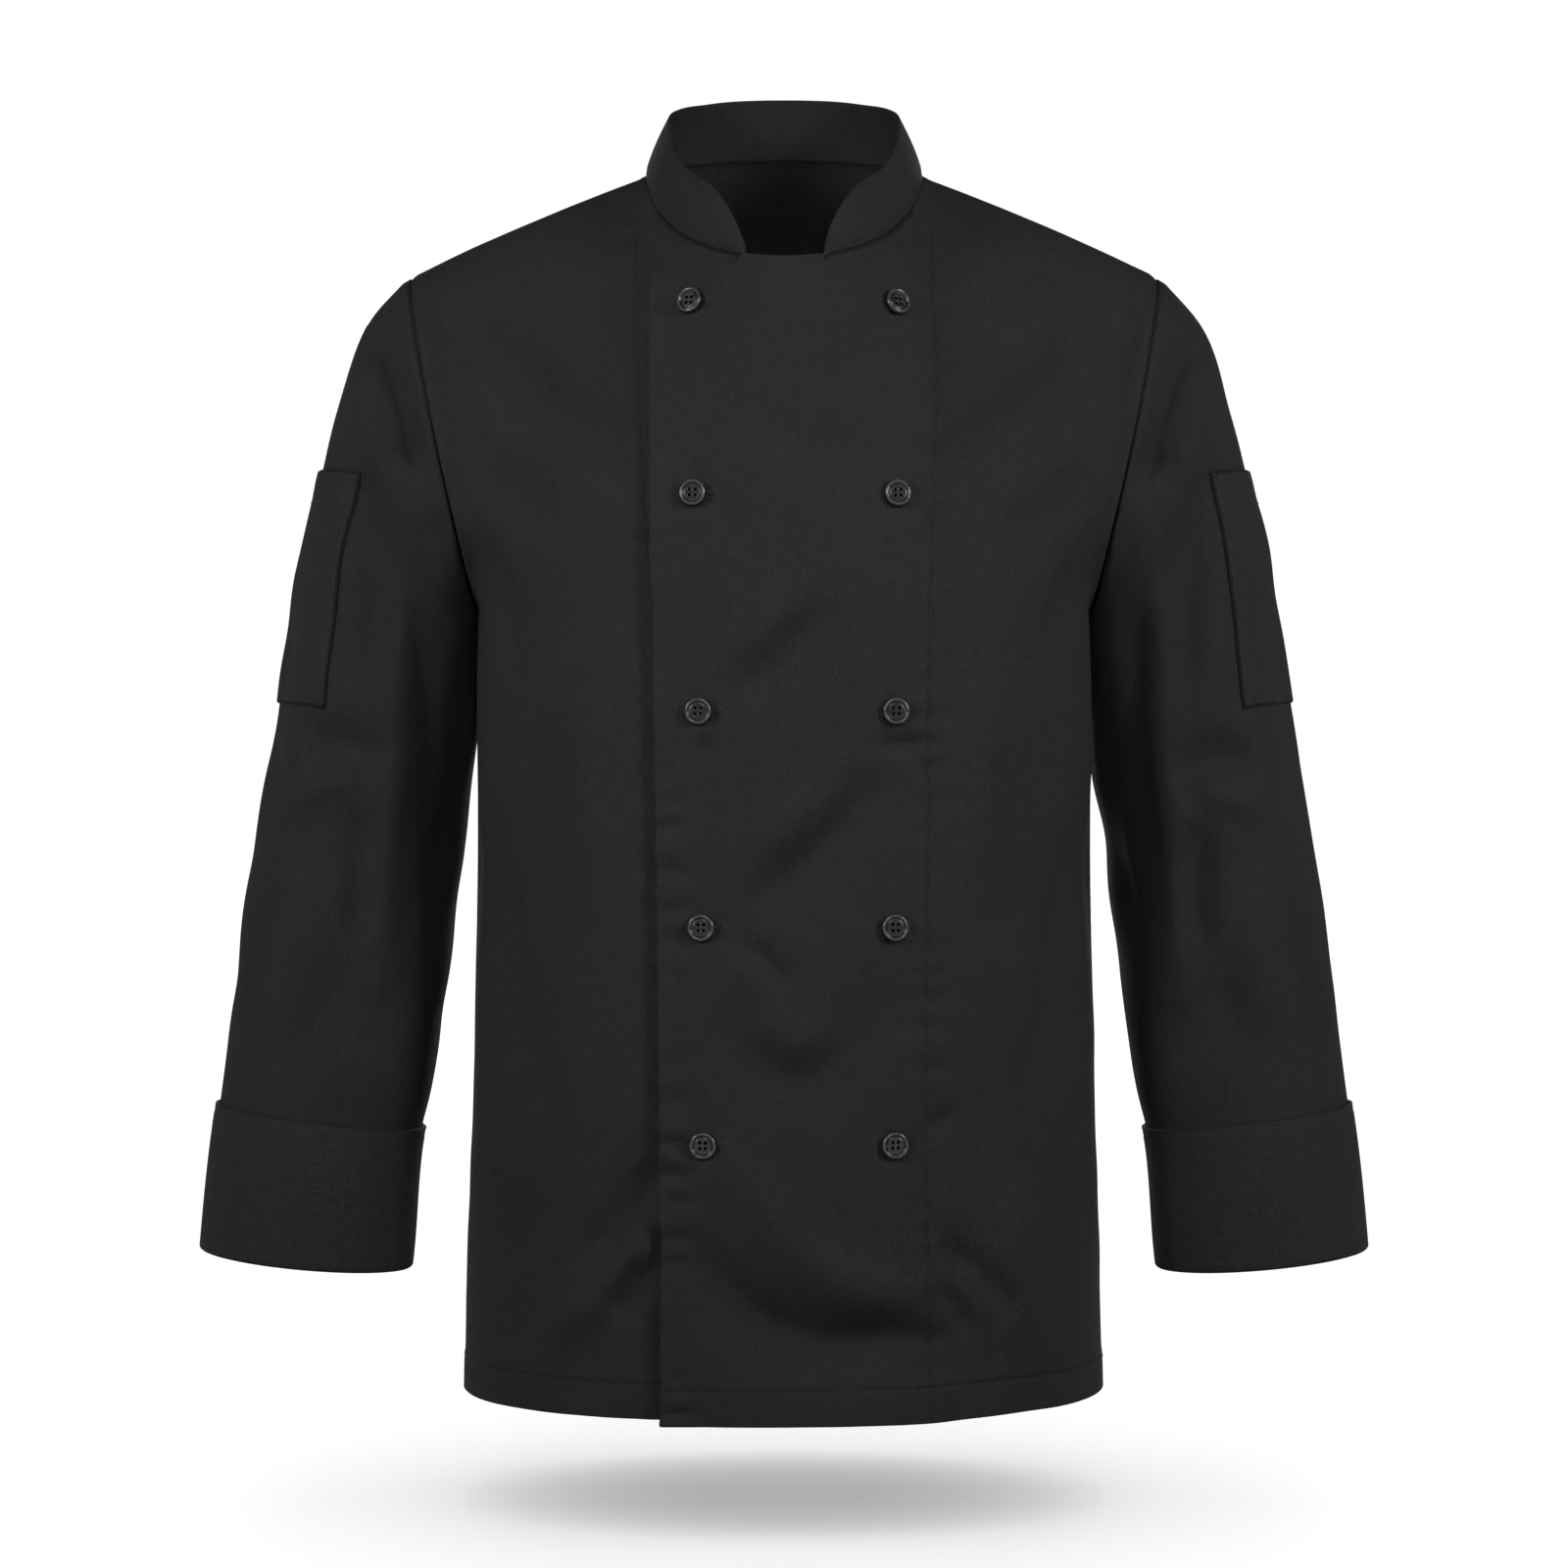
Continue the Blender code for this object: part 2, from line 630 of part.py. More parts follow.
def smooth_rows(rings, counts):
    """Rows on smooth curves through the rings, with that many rows before each ring."""
    knots = np.concatenate([[0], np.cumsum(np.linalg.norm(np.diff(rings, axis=0), axis=2).mean(1))])
    rows = [rings[0]]
    for index, count in enumerate(counts):
        for step in range(1, count + 1):
            at = knots[index] + (knots[index + 1] - knots[index]) * step / count
            rows.append(along(knots, rings, at))
    return np.array(rows)


def make_sleeve(name, sign, front, front_column, back, back_column):
    """A sleeve whose first ring is the armhole seam, with that seam."""
    rows = range(HEM_ROWS, HEM_ROWS + UPPER_ROWS + 1)
    front_cells = [(row, front_column) for row in rows]
    back_cells = [(row, back_column) for row in rows]
    loop = [front.points[cell] for cell in front_cells]
    loop += [back.points[cell] for cell in reversed(back_cells[1:-1])]
    rings = np.array([loop] + [ring_points(ring, sign) for ring in SLEEVE])
    points = smooth_rows(rings, [ring.rows for ring in SLEEVE])
    heights = np.zeros(points.shape[:2])
    ends = points.shape[0] - SLEEVE[-1].rows
    for row, column in np.ndindex(heights.shape):
        fade = ease(row / 4) * ease((ends - row) / 3)
        degrees = 360 * column / SLEEVE_COLUMNS
        metres_per_degree = SLEEVE[4].half_depth * math.pi / 180
        heights[row, column] = fade * fold_height(
            SLEEVE_FOLDS, degrees, points[row, column, 2], metres_per_degree
        )
    centres = np.repeat(points.mean(axis=1, keepdims=True), SLEEVE_COLUMNS, axis=1)
    sleeve = Cloth(name, points, centres, closed=True)
    sleeve.raise_by(heights)
    halves = SLEEVE_COLUMNS // 2
    seams = [
        Seam(sleeve, [(0, step) for step in range(halves + 1)], front, front_cells),
        Seam(sleeve, [(0, (-step) % SLEEVE_COLUMNS) for step in range(halves + 1)], back, back_cells),
    ]
    return sleeve, seams


def row_of_ring(number):
    """The sleeve row that lies on a ring of the SLEEVE table."""
    return sum(ring.rows for ring in SLEEVE[: number + 1])


def make_pocket(name, sleeve):
    """A patch made from the sleeve's own points, moved out."""
    top, bottom = (row_of_ring(number) for number in POCKET_RINGS)
    first, last = POCKET_COLUMNS
    rows, columns = slice(top, bottom + 1), slice(first, last + 1)
    points = sleeve.points[rows, columns]
    normals = sleeve.normals[rows, columns]
    pocket = Cloth(
        name, points + normals * (SEAM_GAP + POCKET_WALL), sleeve.outward_from[rows, columns],
        wall=POCKET_WALL,
    )
    pocket.normals = normals
    return pocket


def add_cuff(name, sleeve):
    """The turned-back cuff: a wall round the sleeve's end, and a fold under its edge."""
    first = row_of_ring(CUFF_RING)
    points, normals = sleeve.points[first:], sleeve.normals[first:]
    down = unit(points[-1] - points[-2])
    end = points[-1] + down * SEAM_GAP
    turn = end + down * CUFF_WALL
    inset = -normals[-1] * WALL
    outset = normals * (CUFF_GAP + CUFF_WALL)
    profile = list(points + outset)
    profile.append(turn + outset[-1] * 0.7)
    profile.append(turn + inset)
    profile.append(end + inset)
    profile.append(end + normals[-1] * CUFF_GAP)
    profile.extend(reversed(list(points[:-1] + normals[:-1] * CUFF_GAP)))
    count, around = len(profile), SLEEVE_COLUMNS
    faces = []
    for row in range(count):
        for column in range(around):
            after_row, after = (row + 1) % count, (column + 1) % around
            faces.append([row * around + column, row * around + after,
                          after_row * around + after, after_row * around + column])
    return add_object(name, np.concatenate(profile), faces)


# ---- buttons --------------------------------------------------------------------------------


def loop_points(radius, height, sides, centre=(0.0, 0.0)):
    angles = [2 * math.pi * step / sides for step in range(sides)]
    return [
        (centre[0] + radius * math.cos(angle), centre[1] + radius * math.sin(angle), height)
        for angle in angles
    ]


def bridge(solid, lower, upper):
    count = len(lower)
    for step in range(count):
        after = (step + 1) % count
        solid.faces.new((lower[step], lower[after], upper[after], upper[step]))


def close_loops(solid, loops):
    """Fills the flat area between an outer loop and the holes in it."""
    edges = []
    for loop in loops:
        for step, vertex in enumerate(loop):
            after = loop[(step + 1) % len(loop)]
            edges.append(solid.edges.get((vertex, after)) or solid.edges.new((vertex, after)))
    bmesh.ops.triangle_fill(solid, use_beauty=True, use_dissolve=False, edges=edges)


def make_button_mesh():
    """A four-hole button lying on z = 0: a flat back, a rounded rim and a sunk face."""
    solid = bmesh.new()
    face = BUTTON_HEIGHT - BUTTON_DISH
    rings = (
        (BUTTON_RADIUS - 0.0006, 0.0),
        (BUTTON_RADIUS, 0.0008),
        (BUTTON_RADIUS - 0.0004, BUTTON_HEIGHT - 0.0003),
        (BUTTON_RADIUS - BUTTON_RIM, BUTTON_HEIGHT),
        (BUTTON_RADIUS - 2 * BUTTON_RIM, face),
    )
    outer = [
        [solid.verts.new(point) for point in loop_points(radius, height, BUTTON_SIDES)]
        for radius, height in rings
    ]
    for lower, upper in zip(outer, outer[1:]):
        bridge(solid, lower, upper)
    bottoms, tops = [outer[0]], [outer[-1]]
    for across in (-1, 1):
        for up in (-1, 1):
            centre = (across * BUTTON_HOLE_AT, up * BUTTON_HOLE_AT)
            loops = [
                [
                    solid.verts.new(point)
                    for point in loop_points(BUTTON_HOLE, height, BUTTON_HOLE_SIDES, centre)
                ]
                for height in (0.0, face)
            ]
            bridge(solid, *loops)
            bottoms.append(loops[0])
            tops.append(loops[1])
    close_loops(solid, bottoms)
    close_loops(solid, tops)
    bmesh.ops.triangulate(solid, faces=solid.faces)
    bmesh.ops.recalc_face_normals(solid, faces=solid.faces)
    mesh = bpy.data.meshes.new("button")
    solid.to_mesh(mesh)
    solid.free()
    mesh.shade_smooth()
    mesh.set_sharp_from_angle(angle=math.radians(35))
    return mesh


def panel_point(panel, x, z):
    """The outer point of a front at a place given by x and z."""
    best, best_span = None, 1.0
    for cell in panel.cells():
        corners = [panel.points[corner] for corner in panel.corners(*cell)]
        for triangle in ((0, 1, 2), (0, 2, 3)):
            a, b, c = (corners[index] for index in triangle)
            across, up = b - a, c - a
            area = across[0] * up[2] - across[2] * up[0]
            if abs(area) < 1e-12:
                continue
            dx, dz = x - a[0], z - a[2]
            first = (dx * up[2] - dz * up[0]) / area
            second = (across[0] * dz - across[2] * dx) / area
            span = max(-first, -second, first + second - 1)
            if span < best_span:
                best_span = span
                best = a + across * first + up * second
    return best


def add_buttons(over):
    mesh = make_button_mesh()
    for column, places in BUTTON_COLUMNS_X.items():
        for number, (x, z) in enumerate(zip(places, BUTTON_ROWS_Z), start=1):
            point = panel_point(over, x, z)
            around = [
                panel_point(over, x + dx, z + dz)
                for radius in (BUTTON_RADIUS, BUTTON_RADIUS / 2)
                for dx, dz, _ in loop_points(radius, 0.0, 12)
            ]
            normal = unit(np.cross(around[0] - around[6], around[3] - around[9]))
            lift = max(float(np.dot(place - point, normal)) for place in around + [point])
            name = f"button_{column}_{number}"
            material = cloth_material(name, BUTTON_COLOUR, 0.25)
            button = bpy.data.objects.new(name, mesh.copy())
            button.data.materials.append(material)
            bpy.context.scene.collection.objects.link(button)
            button.location = Vector(point + normal * (lift + SEAM_GAP))
            button.rotation_euler = Vector(normal).to_track_quat("Z", "Y").to_euler()


# ---- the whole jacket -----------------------------------------------------------------------


def clear_scene():
    for obj in list(bpy.data.objects):
        bpy.data.objects.remove(obj, do_unlink=True)


def main():
    clear_scene()
    under, over, back = make_body()
    collar, seams = make_collar(under, over, back)
    seams += body_seams(under, over, back)
    sleeve_right, right_seams = make_sleeve("sleeve_right", -1, under, 0, back, 0)
    last_over, last_back = over.points.shape[1] - 1, back.points.shape[1] - 1
    sleeve_left, left_seams = make_sleeve("sleeve_left", 1, over, last_over, back, last_back)
    join(seams + right_seams + left_seams)
    for piece in (under, over, back, collar, sleeve_right, sleeve_left):
        add_cloth(piece)
    for side, sleeve in (("right", sleeve_right), ("left", sleeve_left)):
        add_cloth(make_pocket(f"sleeve_pocket_{side}", sleeve))
        add_cuff(f"cuff_{side}", sleeve)
    add_buttons(over)


main()
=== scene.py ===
"""The looks of a black double-breasted chef jacket, in metres with +Z up.

-Y is the front. The wearer's left front (+X) laps over the right front (-X), and "right" and
"left" in a name are the wearer's. Each sewn piece is a fine cloth shell on its solid's form.
"""

import itertools
import math
from collections import namedtuple

import bmesh
import bpy
import numpy as np
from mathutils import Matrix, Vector
from mathutils.bvhtree import BVHTree


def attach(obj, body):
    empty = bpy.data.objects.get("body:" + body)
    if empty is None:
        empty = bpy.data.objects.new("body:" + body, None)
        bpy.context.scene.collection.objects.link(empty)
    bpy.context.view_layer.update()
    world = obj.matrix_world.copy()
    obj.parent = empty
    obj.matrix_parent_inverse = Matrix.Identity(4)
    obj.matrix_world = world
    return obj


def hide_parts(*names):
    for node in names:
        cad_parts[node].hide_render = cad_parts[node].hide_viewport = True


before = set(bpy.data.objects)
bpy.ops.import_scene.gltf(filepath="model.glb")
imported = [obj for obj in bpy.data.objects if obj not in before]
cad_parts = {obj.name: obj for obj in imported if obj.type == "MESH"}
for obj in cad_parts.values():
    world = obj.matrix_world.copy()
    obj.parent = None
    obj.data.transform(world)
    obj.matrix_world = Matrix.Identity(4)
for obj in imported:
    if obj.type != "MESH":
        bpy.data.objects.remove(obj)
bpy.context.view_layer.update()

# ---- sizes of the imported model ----

WALL = 0.0015
COLLAR_WALL = 0.0020
CUFF_WALL = 0.0022
POCKET_WALL = 0.0015
SEAM_GAP = 0.0001
SEAM_ALLOWANCE = 0.0004  # how far each piece reaches under its neighbour inside a seam
LAP_GAP = 0.0005  # between the two fronts where they lap
CUFF_GAP = 0.0006  # between a sleeve and the cuff turned back over it

HEM_Z = -0.7375
LAP_DROP = 0.0030  # the over front hangs this much lower
CHEST_Z = -0.2670
SIDE_Y = 0.0050
ROUNDNESS = 0.85

NECK_HALF = 0.0860
NECK_Y = 0.0100
NECK_FRONT = 0.1130
NECK_BACK = 0.0700
NECK_SLOPE = 0.46
NECK_SAG = 0.15
NECK_SAG_START = 0.015
NECK_SQUARENESS = 0.95

SHOULDER_X = 0.2290
SHOULDER_Z = -0.0660
SHOULDER_CROWN = 0.0040
ARMHOLE_SLOPE = 0.209
ARMHOLE_FRONT = 0.0660
ARMHOLE_BACK = 0.0620

COLLAR_HEIGHT = 0.0380
COLLAR_END = 0.0070
COLLAR_ROUND = 0.0450
COLLAR_LEAN = (math.radians(8), math.radians(23))
LAP_TOP_Z = (-0.0706, -0.0735)

# How far round the front, from the centre (0) to the side seam (1), each line runs.
COLLAR_END_AT = 0.0545
LAP_EDGE_AT = 0.220
NECK_POINT_AT = 0.339
LAP_NARROWING = 0.13
SIDE_LEVEL = 0.75  # the armhole's share that lies below the level of the lap's top edge

TORSO_Z = np.array((-0.7375, -0.6720, -0.6120, -0.5520, -0.4920, -0.4020, -0.3300, -0.2670))
TORSO_SHAPE = np.array((  # half_width, front_depth, back_depth at each level of TORSO_Z
    (0.1948, 0.1300, 0.1270),
    (0.1932, 0.1300, 0.1240),
    (0.1912, 0.1300, 0.1210),
    (0.1900, 0.1300, 0.1190),
    (0.1890, 0.1300, 0.1180),
    (0.1880, 0.1290, 0.1190),
    (0.1878, 0.1280, 0.1210),
    (0.1870, 0.1270, 0.1240),
))

Ring = namedtuple("Ring", "outer_x outer_z inner_x inner_z half_depth y droop twist rows")
SLEEVE = (
    Ring(0.2545, -0.0970, 0.1910, -0.2810, 0.0665, 0.010, 1.05, -1, 22),
    Ring(0.2725, -0.1480, 0.1930, -0.2920, 0.0665, 0.012, 1.20, -3, 14),
    Ring(0.2808, -0.1820, 0.1938, -0.3040, 0.0660, 0.014, 1.50, -4, 10),
    Ring(0.2965, -0.2520, 0.1942, -0.3350, 0.0650, 0.015, 1.30, -6, 16),
    Ring(0.3094, -0.3210, 0.1950, -0.3720, 0.0640, 0.014, 1.20, -8, 16),
    Ring(0.3240, -0.4020, 0.1975, -0.4180, 0.0630, 0.010, 1.00, -8, 18),
    Ring(0.3355, -0.4920, 0.2080, -0.5040, 0.0590, 0.002, 1.00, -8, 22),
    Ring(0.3415, -0.5480, 0.2165, -0.5625, 0.0560, -0.004, 1.00, -8, 16),
    Ring(0.3436, -0.5660, 0.2212, -0.5815, 0.0545, -0.006, 1.00, -8, 6),
    Ring(0.3522, -0.6510, 0.2286, -0.6635, 0.0530, -0.012, 1.00, -8, 26),
)
POCKET_RINGS = (2, 4)
POCKET_ANGLES = (120, 225)  # degrees round the sleeve from the inner point by the front
CUFF_RING = 8

SIDES = {"right": -1, "left": 1}


# ---- curves ----


def unit(vectors):
    length = np.linalg.norm(vectors, axis=-1, keepdims=True)
    return vectors / np.maximum(length, 1e-12)


def ease(values):
    """0 below 0, 1 above 1 and smooth between."""
    values = np.clip(values, 0.0, 1.0)
    return values * values * (3 - 2 * values)


def ease_over(values, span):
    """0 up to the span's start and 1 from its length on. A length below 0 runs the other way."""
    start, length = span
    return ease((values - start) / length)


def bell(distance, reach):
    """1 in the middle, falling smoothly on both sides to about a third at that reach."""
    return np.exp(-((distance / reach) ** 2))


def hermite(start, start_pull, end, end_pull, at):
    """The cubic from start to end with those end tangents."""
    square, cube = at * at, at * at * at
    return (
        (2 * cube - 3 * square + 1) * start
        + (cube - 2 * square + at) * start_pull
        + (3 * square - 2 * cube) * end
        + (cube - square) * end_pull
    )


def along(knots, values, at):
    """A smooth curve through the values, read at an array of places."""
    slopes = np.gradient(values, knots, axis=0)
    index = np.clip(np.searchsorted(knots, at) - 1, 0, len(knots) - 2)
    over = (1,) * (values.ndim - 1)
    span = (knots[index + 1] - knots[index]).reshape(np.shape(at) + over)
    share = (np.asarray(at) - knots[index]).reshape(np.shape(at) + over) / span
    return hermite(
        values[index], slopes[index] * span, values[index + 1], slopes[index + 1] * span, share
    )


def sample_path(path, steps):
    """A smooth line through a few points, as many points."""
    path = np.array(path, dtype=float)
    if len(path) == 2:
        return path[0] + (path[1] - path[0]) * np.linspace(0, 1, steps + 1)[:, None]
    return along(np.arange(len(path), dtype=float), path,
                 np.linspace(0, len(path) - 1, steps * (len(path) - 1) + 1))


def run_lengths(points):
    """How far each point is along its line of points. The lines run down the first axis."""
    steps = np.linalg.norm(np.diff(points, axis=0), axis=-1)
    return np.concatenate([np.zeros_like(steps[:1]), np.cumsum(steps, axis=0)])


def way_over(grid):
    """How far each point of a grid is from its first column and from its first row."""
    return np.stack([run_lengths(grid.swapaxes(0, 1)).swapaxes(0, 1), run_lengths(grid)], axis=-1)


def read_rows(values, at):
    """The values at a place between two rows, such as 2.5, or at an array of such places."""
    row = np.minimum(np.asarray(at).astype(int), len(values) - 2)
    share = np.asarray(at - row)[..., None]
    return values[row] * (1 - share) + values[row + 1] * share


def index_of(values, value):
    """Where in an array the entry nearest to that value is."""
    return int(np.argmin(np.abs(values - value)))


def clustered(start, end, count, near_start=(), near_end=()):
    """Even places from start to end, with more at those distances from either end."""
    places = list(np.linspace(start, end, count + 1))
    way = math.copysign(1.0, end - start)
    places += [start + way * step for step in near_start]
    places += [end - way * step for step in near_end]
    return np.unique(np.round(places, 7))


# ---- the body's surface ----

# The cloth's direction at the centre, the neck point and the shoulder tip: out, inwards and up.
TOP_PULLS = ((0.0, 0.20, 0.98), (-0.10, 0.80, 0.60), (0.0, 0.95, 0.30))
CHEST_STEP = 0.01  # the cloth's direction at the chest is read over this height
TOP_REACH = 0.8  # how strongly a column bends to its direction at the top
MISS_REACH = 4  # how quickly the armhole's pull on a column fades towards the centre
LEVEL_ROUNDS = 30


def torso_point(around, z, side):
    """The body at a level: around runs from the centre (0) to a side seam (1 or -1)."""
    around, z = np.broadcast_arrays(around, z)
    half_width, front, back = np.moveaxis(along(TORSO_Z, TORSO_SHAPE, z), -1, 0)
    angle = np.abs(around) * math.pi / 2
    x = np.sign(around) * half_width * np.sin(angle) ** ROUNDNESS
    depth = front if side < 0 else back
    y = SIDE_Y + side * depth * np.abs(np.cos(angle)) ** ROUNDNESS
    return np.stack([x, y, z], axis=-1)


def neckline(turn):
    """The collar seam, from the centre front (0) past the neck point (1) to the back (2)."""
    angle = np.clip(np.abs(turn), 0, 2) * math.pi / 2
    forward = np.cos(angle)
    y = NECK_Y - forward * np.where(forward > 0, NECK_FRONT, NECK_BACK)
    back = y - NECK_Y
    z = NECK_SLOPE * back - NECK_SAG * (np.hypot(back, NECK_SAG_START) - NECK_SAG_START)
    x = np.sign(turn) * NECK_HALF * np.abs(np.sin(angle)) ** NECK_SQUARENESS
    return np.stack([x, y, z], axis=-1)


def armhole(height, side, sign):
    """The armhole seam, from the armpit (0) to the shoulder tip (1), front or back."""
    angle = height * math.pi
    half_height = (SHOULDER_Z - CHEST_Z) / 2
    z = (SHOULDER_Z + CHEST_Z) / 2 - half_height * np.cos(angle)
    depth = ARMHOLE_FRONT if side < 0 else ARMHOLE_BACK
    y = SIDE_Y + (NECK_Y - SIDE_Y) * height + side * depth * np.sin(angle)
    return np.stack([sign * (SHOULDER_X - ARMHOLE_SLOPE * (SHOULDER_Z - z)), y, z], axis=-1)


def body_top(around, side):
    """Where a column of the body ends: on the neckline, or on a shoulder seam."""
    sign = np.where(around < 0, -1.0, 1.0)
    share = np.abs(around) / NECK_POINT_AT
    on_neck = neckline(sign * (share if side < 0 else 2 - share))
    gone = np.clip((np.abs(around) - NECK_POINT_AT) / (1 - NECK_POINT_AT), 0, 1)[..., None]
    tip = np.stack([sign * SHOULDER_X, NECK_Y + 0 * sign, SHOULDER_Z + 0 * sign], axis=-1)
    start = neckline(sign)
    crown = SHOULDER_CROWN * np.sin(math.pi * gone) * np.array([0.0, 0.0, 1.0])
    return np.where(share[..., None] <= 1, on_neck, start + (tip - start) * gone + crown)


def top_pull(around, side):
    """The cloth's direction as it reaches the neckline or the shoulder seam."""
    sign = np.where(around < 0, -1.0, 1.0)[..., None]
    centre, neck, tip = (
        np.array([out, 0.0, 0.0]) * sign + np.array([0.0, -side * inwards, up])
        for out, inwards, up in TOP_PULLS
    )
    share = (np.abs(around) / NECK_POINT_AT)[..., None]
    gone = ((np.abs(around) - NECK_POINT_AT) / (1 - NECK_POINT_AT))[..., None]
    return unit(np.where(
        share <= 1, centre + (neck - centre) * ease(share) ** 1.5, neck + (tip - neck) * gone
    ))


def upper_column(around, height, side):
    start = torso_point(around, CHEST_Z, side)
    below = torso_point(around, CHEST_Z - CHEST_STEP, side)
    end = body_top(around, side)
    reach = np.linalg.norm(end - start, axis=-1, keepdims=True)
    pull = top_pull(around, side) * reach * TOP_REACH
    return hermite(start, unit(start - below) * reach, end, pull, height[..., None])


def upper_point(around, height, side):
    """The body above the chest: height runs from the chest (0) to the top seams (1)."""
    around, height = np.broadcast_arrays(np.asarray(around, float), np.asarray(height, float))
    sign = np.where(around < 0, -1.0, 1.0)
    miss = armhole(height, side, sign) - upper_column(sign, height, side)
    return upper_column(around, height, side) + miss * (np.abs(around) ** MISS_REACH)[..., None]


def lap_level(place):
    """The height share at which the lap's level top edge crosses each column."""
    gone = (place - COLLAR_END_AT) / (LAP_EDGE_AT - COLLAR_END_AT)
    level = LAP_TOP_Z[0] + (LAP_TOP_Z[1] - LAP_TOP_Z[0]) * gone
    low, high = np.full_like(place, 0.5), np.ones_like(place)
    for _ in range(LEVEL_ROUNDS):
        middle = (low + high) / 2
        under = upper_point(place, middle, -1)[..., 2] < level
        low, high = np.where(under, middle, low), np.where(under, high, middle)
    return np.where(place <= COLLAR_END_AT + 1e-9, 1.0, low)


def level_of(around):
    """The height share that splits each column of a front into its chest and its top."""
    place = np.abs(around)
    at_edge = lap_level(np.array([LAP_EDGE_AT]))[0]
    gone = (place - LAP_EDGE_AT) / (1 - LAP_EDGE_AT)
    return np.where(
        place <= LAP_EDGE_AT + 1e-9, lap_level(place), at_edge + (SIDE_LEVEL - at_edge) * gone
    )


# ---- sampling ----

HEM_SHARES = clustered(0, 1, 145, near_start=(0.0012, 0.0026))
CHEST_SHARES = clustered(0, 1, 62, near_end=(0.004, 0.009, 1 / 9))
TOP_SHARES = clustered(0, 1, 26, near_end=(0.008, 0.018, 0.028))
CHEST_ROW = len(HEM_SHARES) - 1
LEVEL_ROW = CHEST_ROW + len(CHEST_SHARES) - 1
TOP_ROW = LEVEL_ROW + len(TOP_SHARES) - 1
UPPER_HEIGHTS = np.concatenate([
    SIDE_LEVEL * CHEST_SHARES, SIDE_LEVEL + (1 - SIDE_LEVEL) * TOP_SHARES[1:]
])
HALF_STATIONS = np.unique(np.concatenate([
    clustered(0, COLLAR_END_AT, 6),
    clustered(COLLAR_END_AT, LAP_EDGE_AT, 16, near_end=(0.002, 0.005)),
    clustered(LAP_EDGE_AT, NECK_POINT_AT, 12),
    clustered(NECK_POINT_AT, 1, 62, near_start=(0.003,), near_end=(0.002, 0.004, 0.007)),
]))
BACK_STATIONS = np.concatenate([
    np.linspace(0, NECK_POINT_AT, 31), HALF_STATIONS[HALF_STATIONS > NECK_POINT_AT + 1e-6]
])


def mirrored(stations):
    return np.concatenate([-stations[:0:-1], stations])


SHOULDER_RISE = 0.0024  # the pressed shoulder seams stand this much higher than the solids
TIP_RISE = 0.0024  # and the sleeve heads this much more
# A span is where a change begins and over what length it becomes whole.
SHOULDER_SPAN = (0.055, 0.035)
TIP_SPAN = (0.140, 0.090)
RISE_SPAN = (-0.180, 0.110)
SOFTEN_ROUNDS = 70
SOFTEN_REACH = 0.10  # how far round from the neck point its corner is softened
SOFTEN_ROWS = 12  # and over how many rows that fades out at the chest and at the top


def settle(points):
    """The small rise of the shoulders and sleeve heads, the same on all pieces."""
    x, z = np.abs(points[..., 0]), points[..., 2]
    rise = SHOULDER_RISE * ease_over(x, SHOULDER_SPAN) + TIP_RISE * ease_over(x, TIP_SPAN)
    points = points.copy()
    points[..., 2] += rise * ease_over(z, RISE_SPAN)
    return points


def soften(points, around):
    """Rounds off the ridge that would run down the cloth from each neck point."""
    rows = np.arange(len(points))[:, None]
    weight = bell(np.abs(around) - NECK_POINT_AT, SOFTEN_REACH)
    weight = weight * ease((TOP_ROW - rows) / SOFTEN_ROWS) * ease((rows - CHEST_ROW) / SOFTEN_ROWS)
    weight = weight[:, 1:-1, None] * 0.5
    points = points.copy()
    for _ in range(SOFTEN_ROUNDS):
        middle = (points[:, 2:] + points[:, :-2]) / 2
        points[:, 1:-1] += weight * (middle - points[:, 1:-1])
    return points


def front_surface(around):
    share = HEM_SHARES[:, None]
    scale = 1 - LAP_NARROWING * (1 - share)
    z = HEM_Z + (CHEST_Z - HEM_Z) * share
    lower = torso_point(around * (scale + (1 - scale) * around * around), z, -1)
    level = level_of(around)
    chest = upper_point(around, level * CHEST_SHARES[1:, None], -1)
    top = upper_point(around, level + (1 - level) * TOP_SHARES[1:, None], -1)
    return settle(soften(np.concatenate([lower, chest, top]), around))


def back_surface(around):
    lower = torso_point(around[None, :], HEM_Z + (CHEST_Z - HEM_Z) * HEM_SHARES[:, None], 1)
    upper = upper_point(around[None, :], UPPER_HEIGHTS[1:, None], 1)
    return settle(soften(np.concatenate([lower, upper]), around))


# ---- relief ----

# A crease is a soft trough (depth below zero) or ridge along a path on the cloth. It is
# width wide on the left of its path and far_width on the right. On the body a path's points are
# (x, z). On a sleeve they are (round from the inner point by the front, z).
Crease = namedtuple("Crease", "path width far_width depth")
SLEEVE_RADIUS = 0.0640


def millimetres(value):
    return value / 1000


def degrees(value):
    """A turn round a sleeve as metres."""
    return value * math.radians(SLEEVE_RADIUS)


def creases(rows, across=millimetres):
    """Creases from rows of lengths in millimetres, with the depth in tenths of a millimetre."""
    return [
        Crease([(across(x), millimetres(z)) for x, z in path],
               millimetres(width), millimetres(far_width), depth / 10000)
        for path, width, far_width, depth in rows
    ]


RELIEF = 3.0  # all creases are this much deeper than written
CREASE_FADE = 1.3  # whole over a crease's middle 0.3, and a fifth of its depth at its ends
CREASE_STEPS = 6  # straight steps between two of its path's points
LINE_STEPS = 4


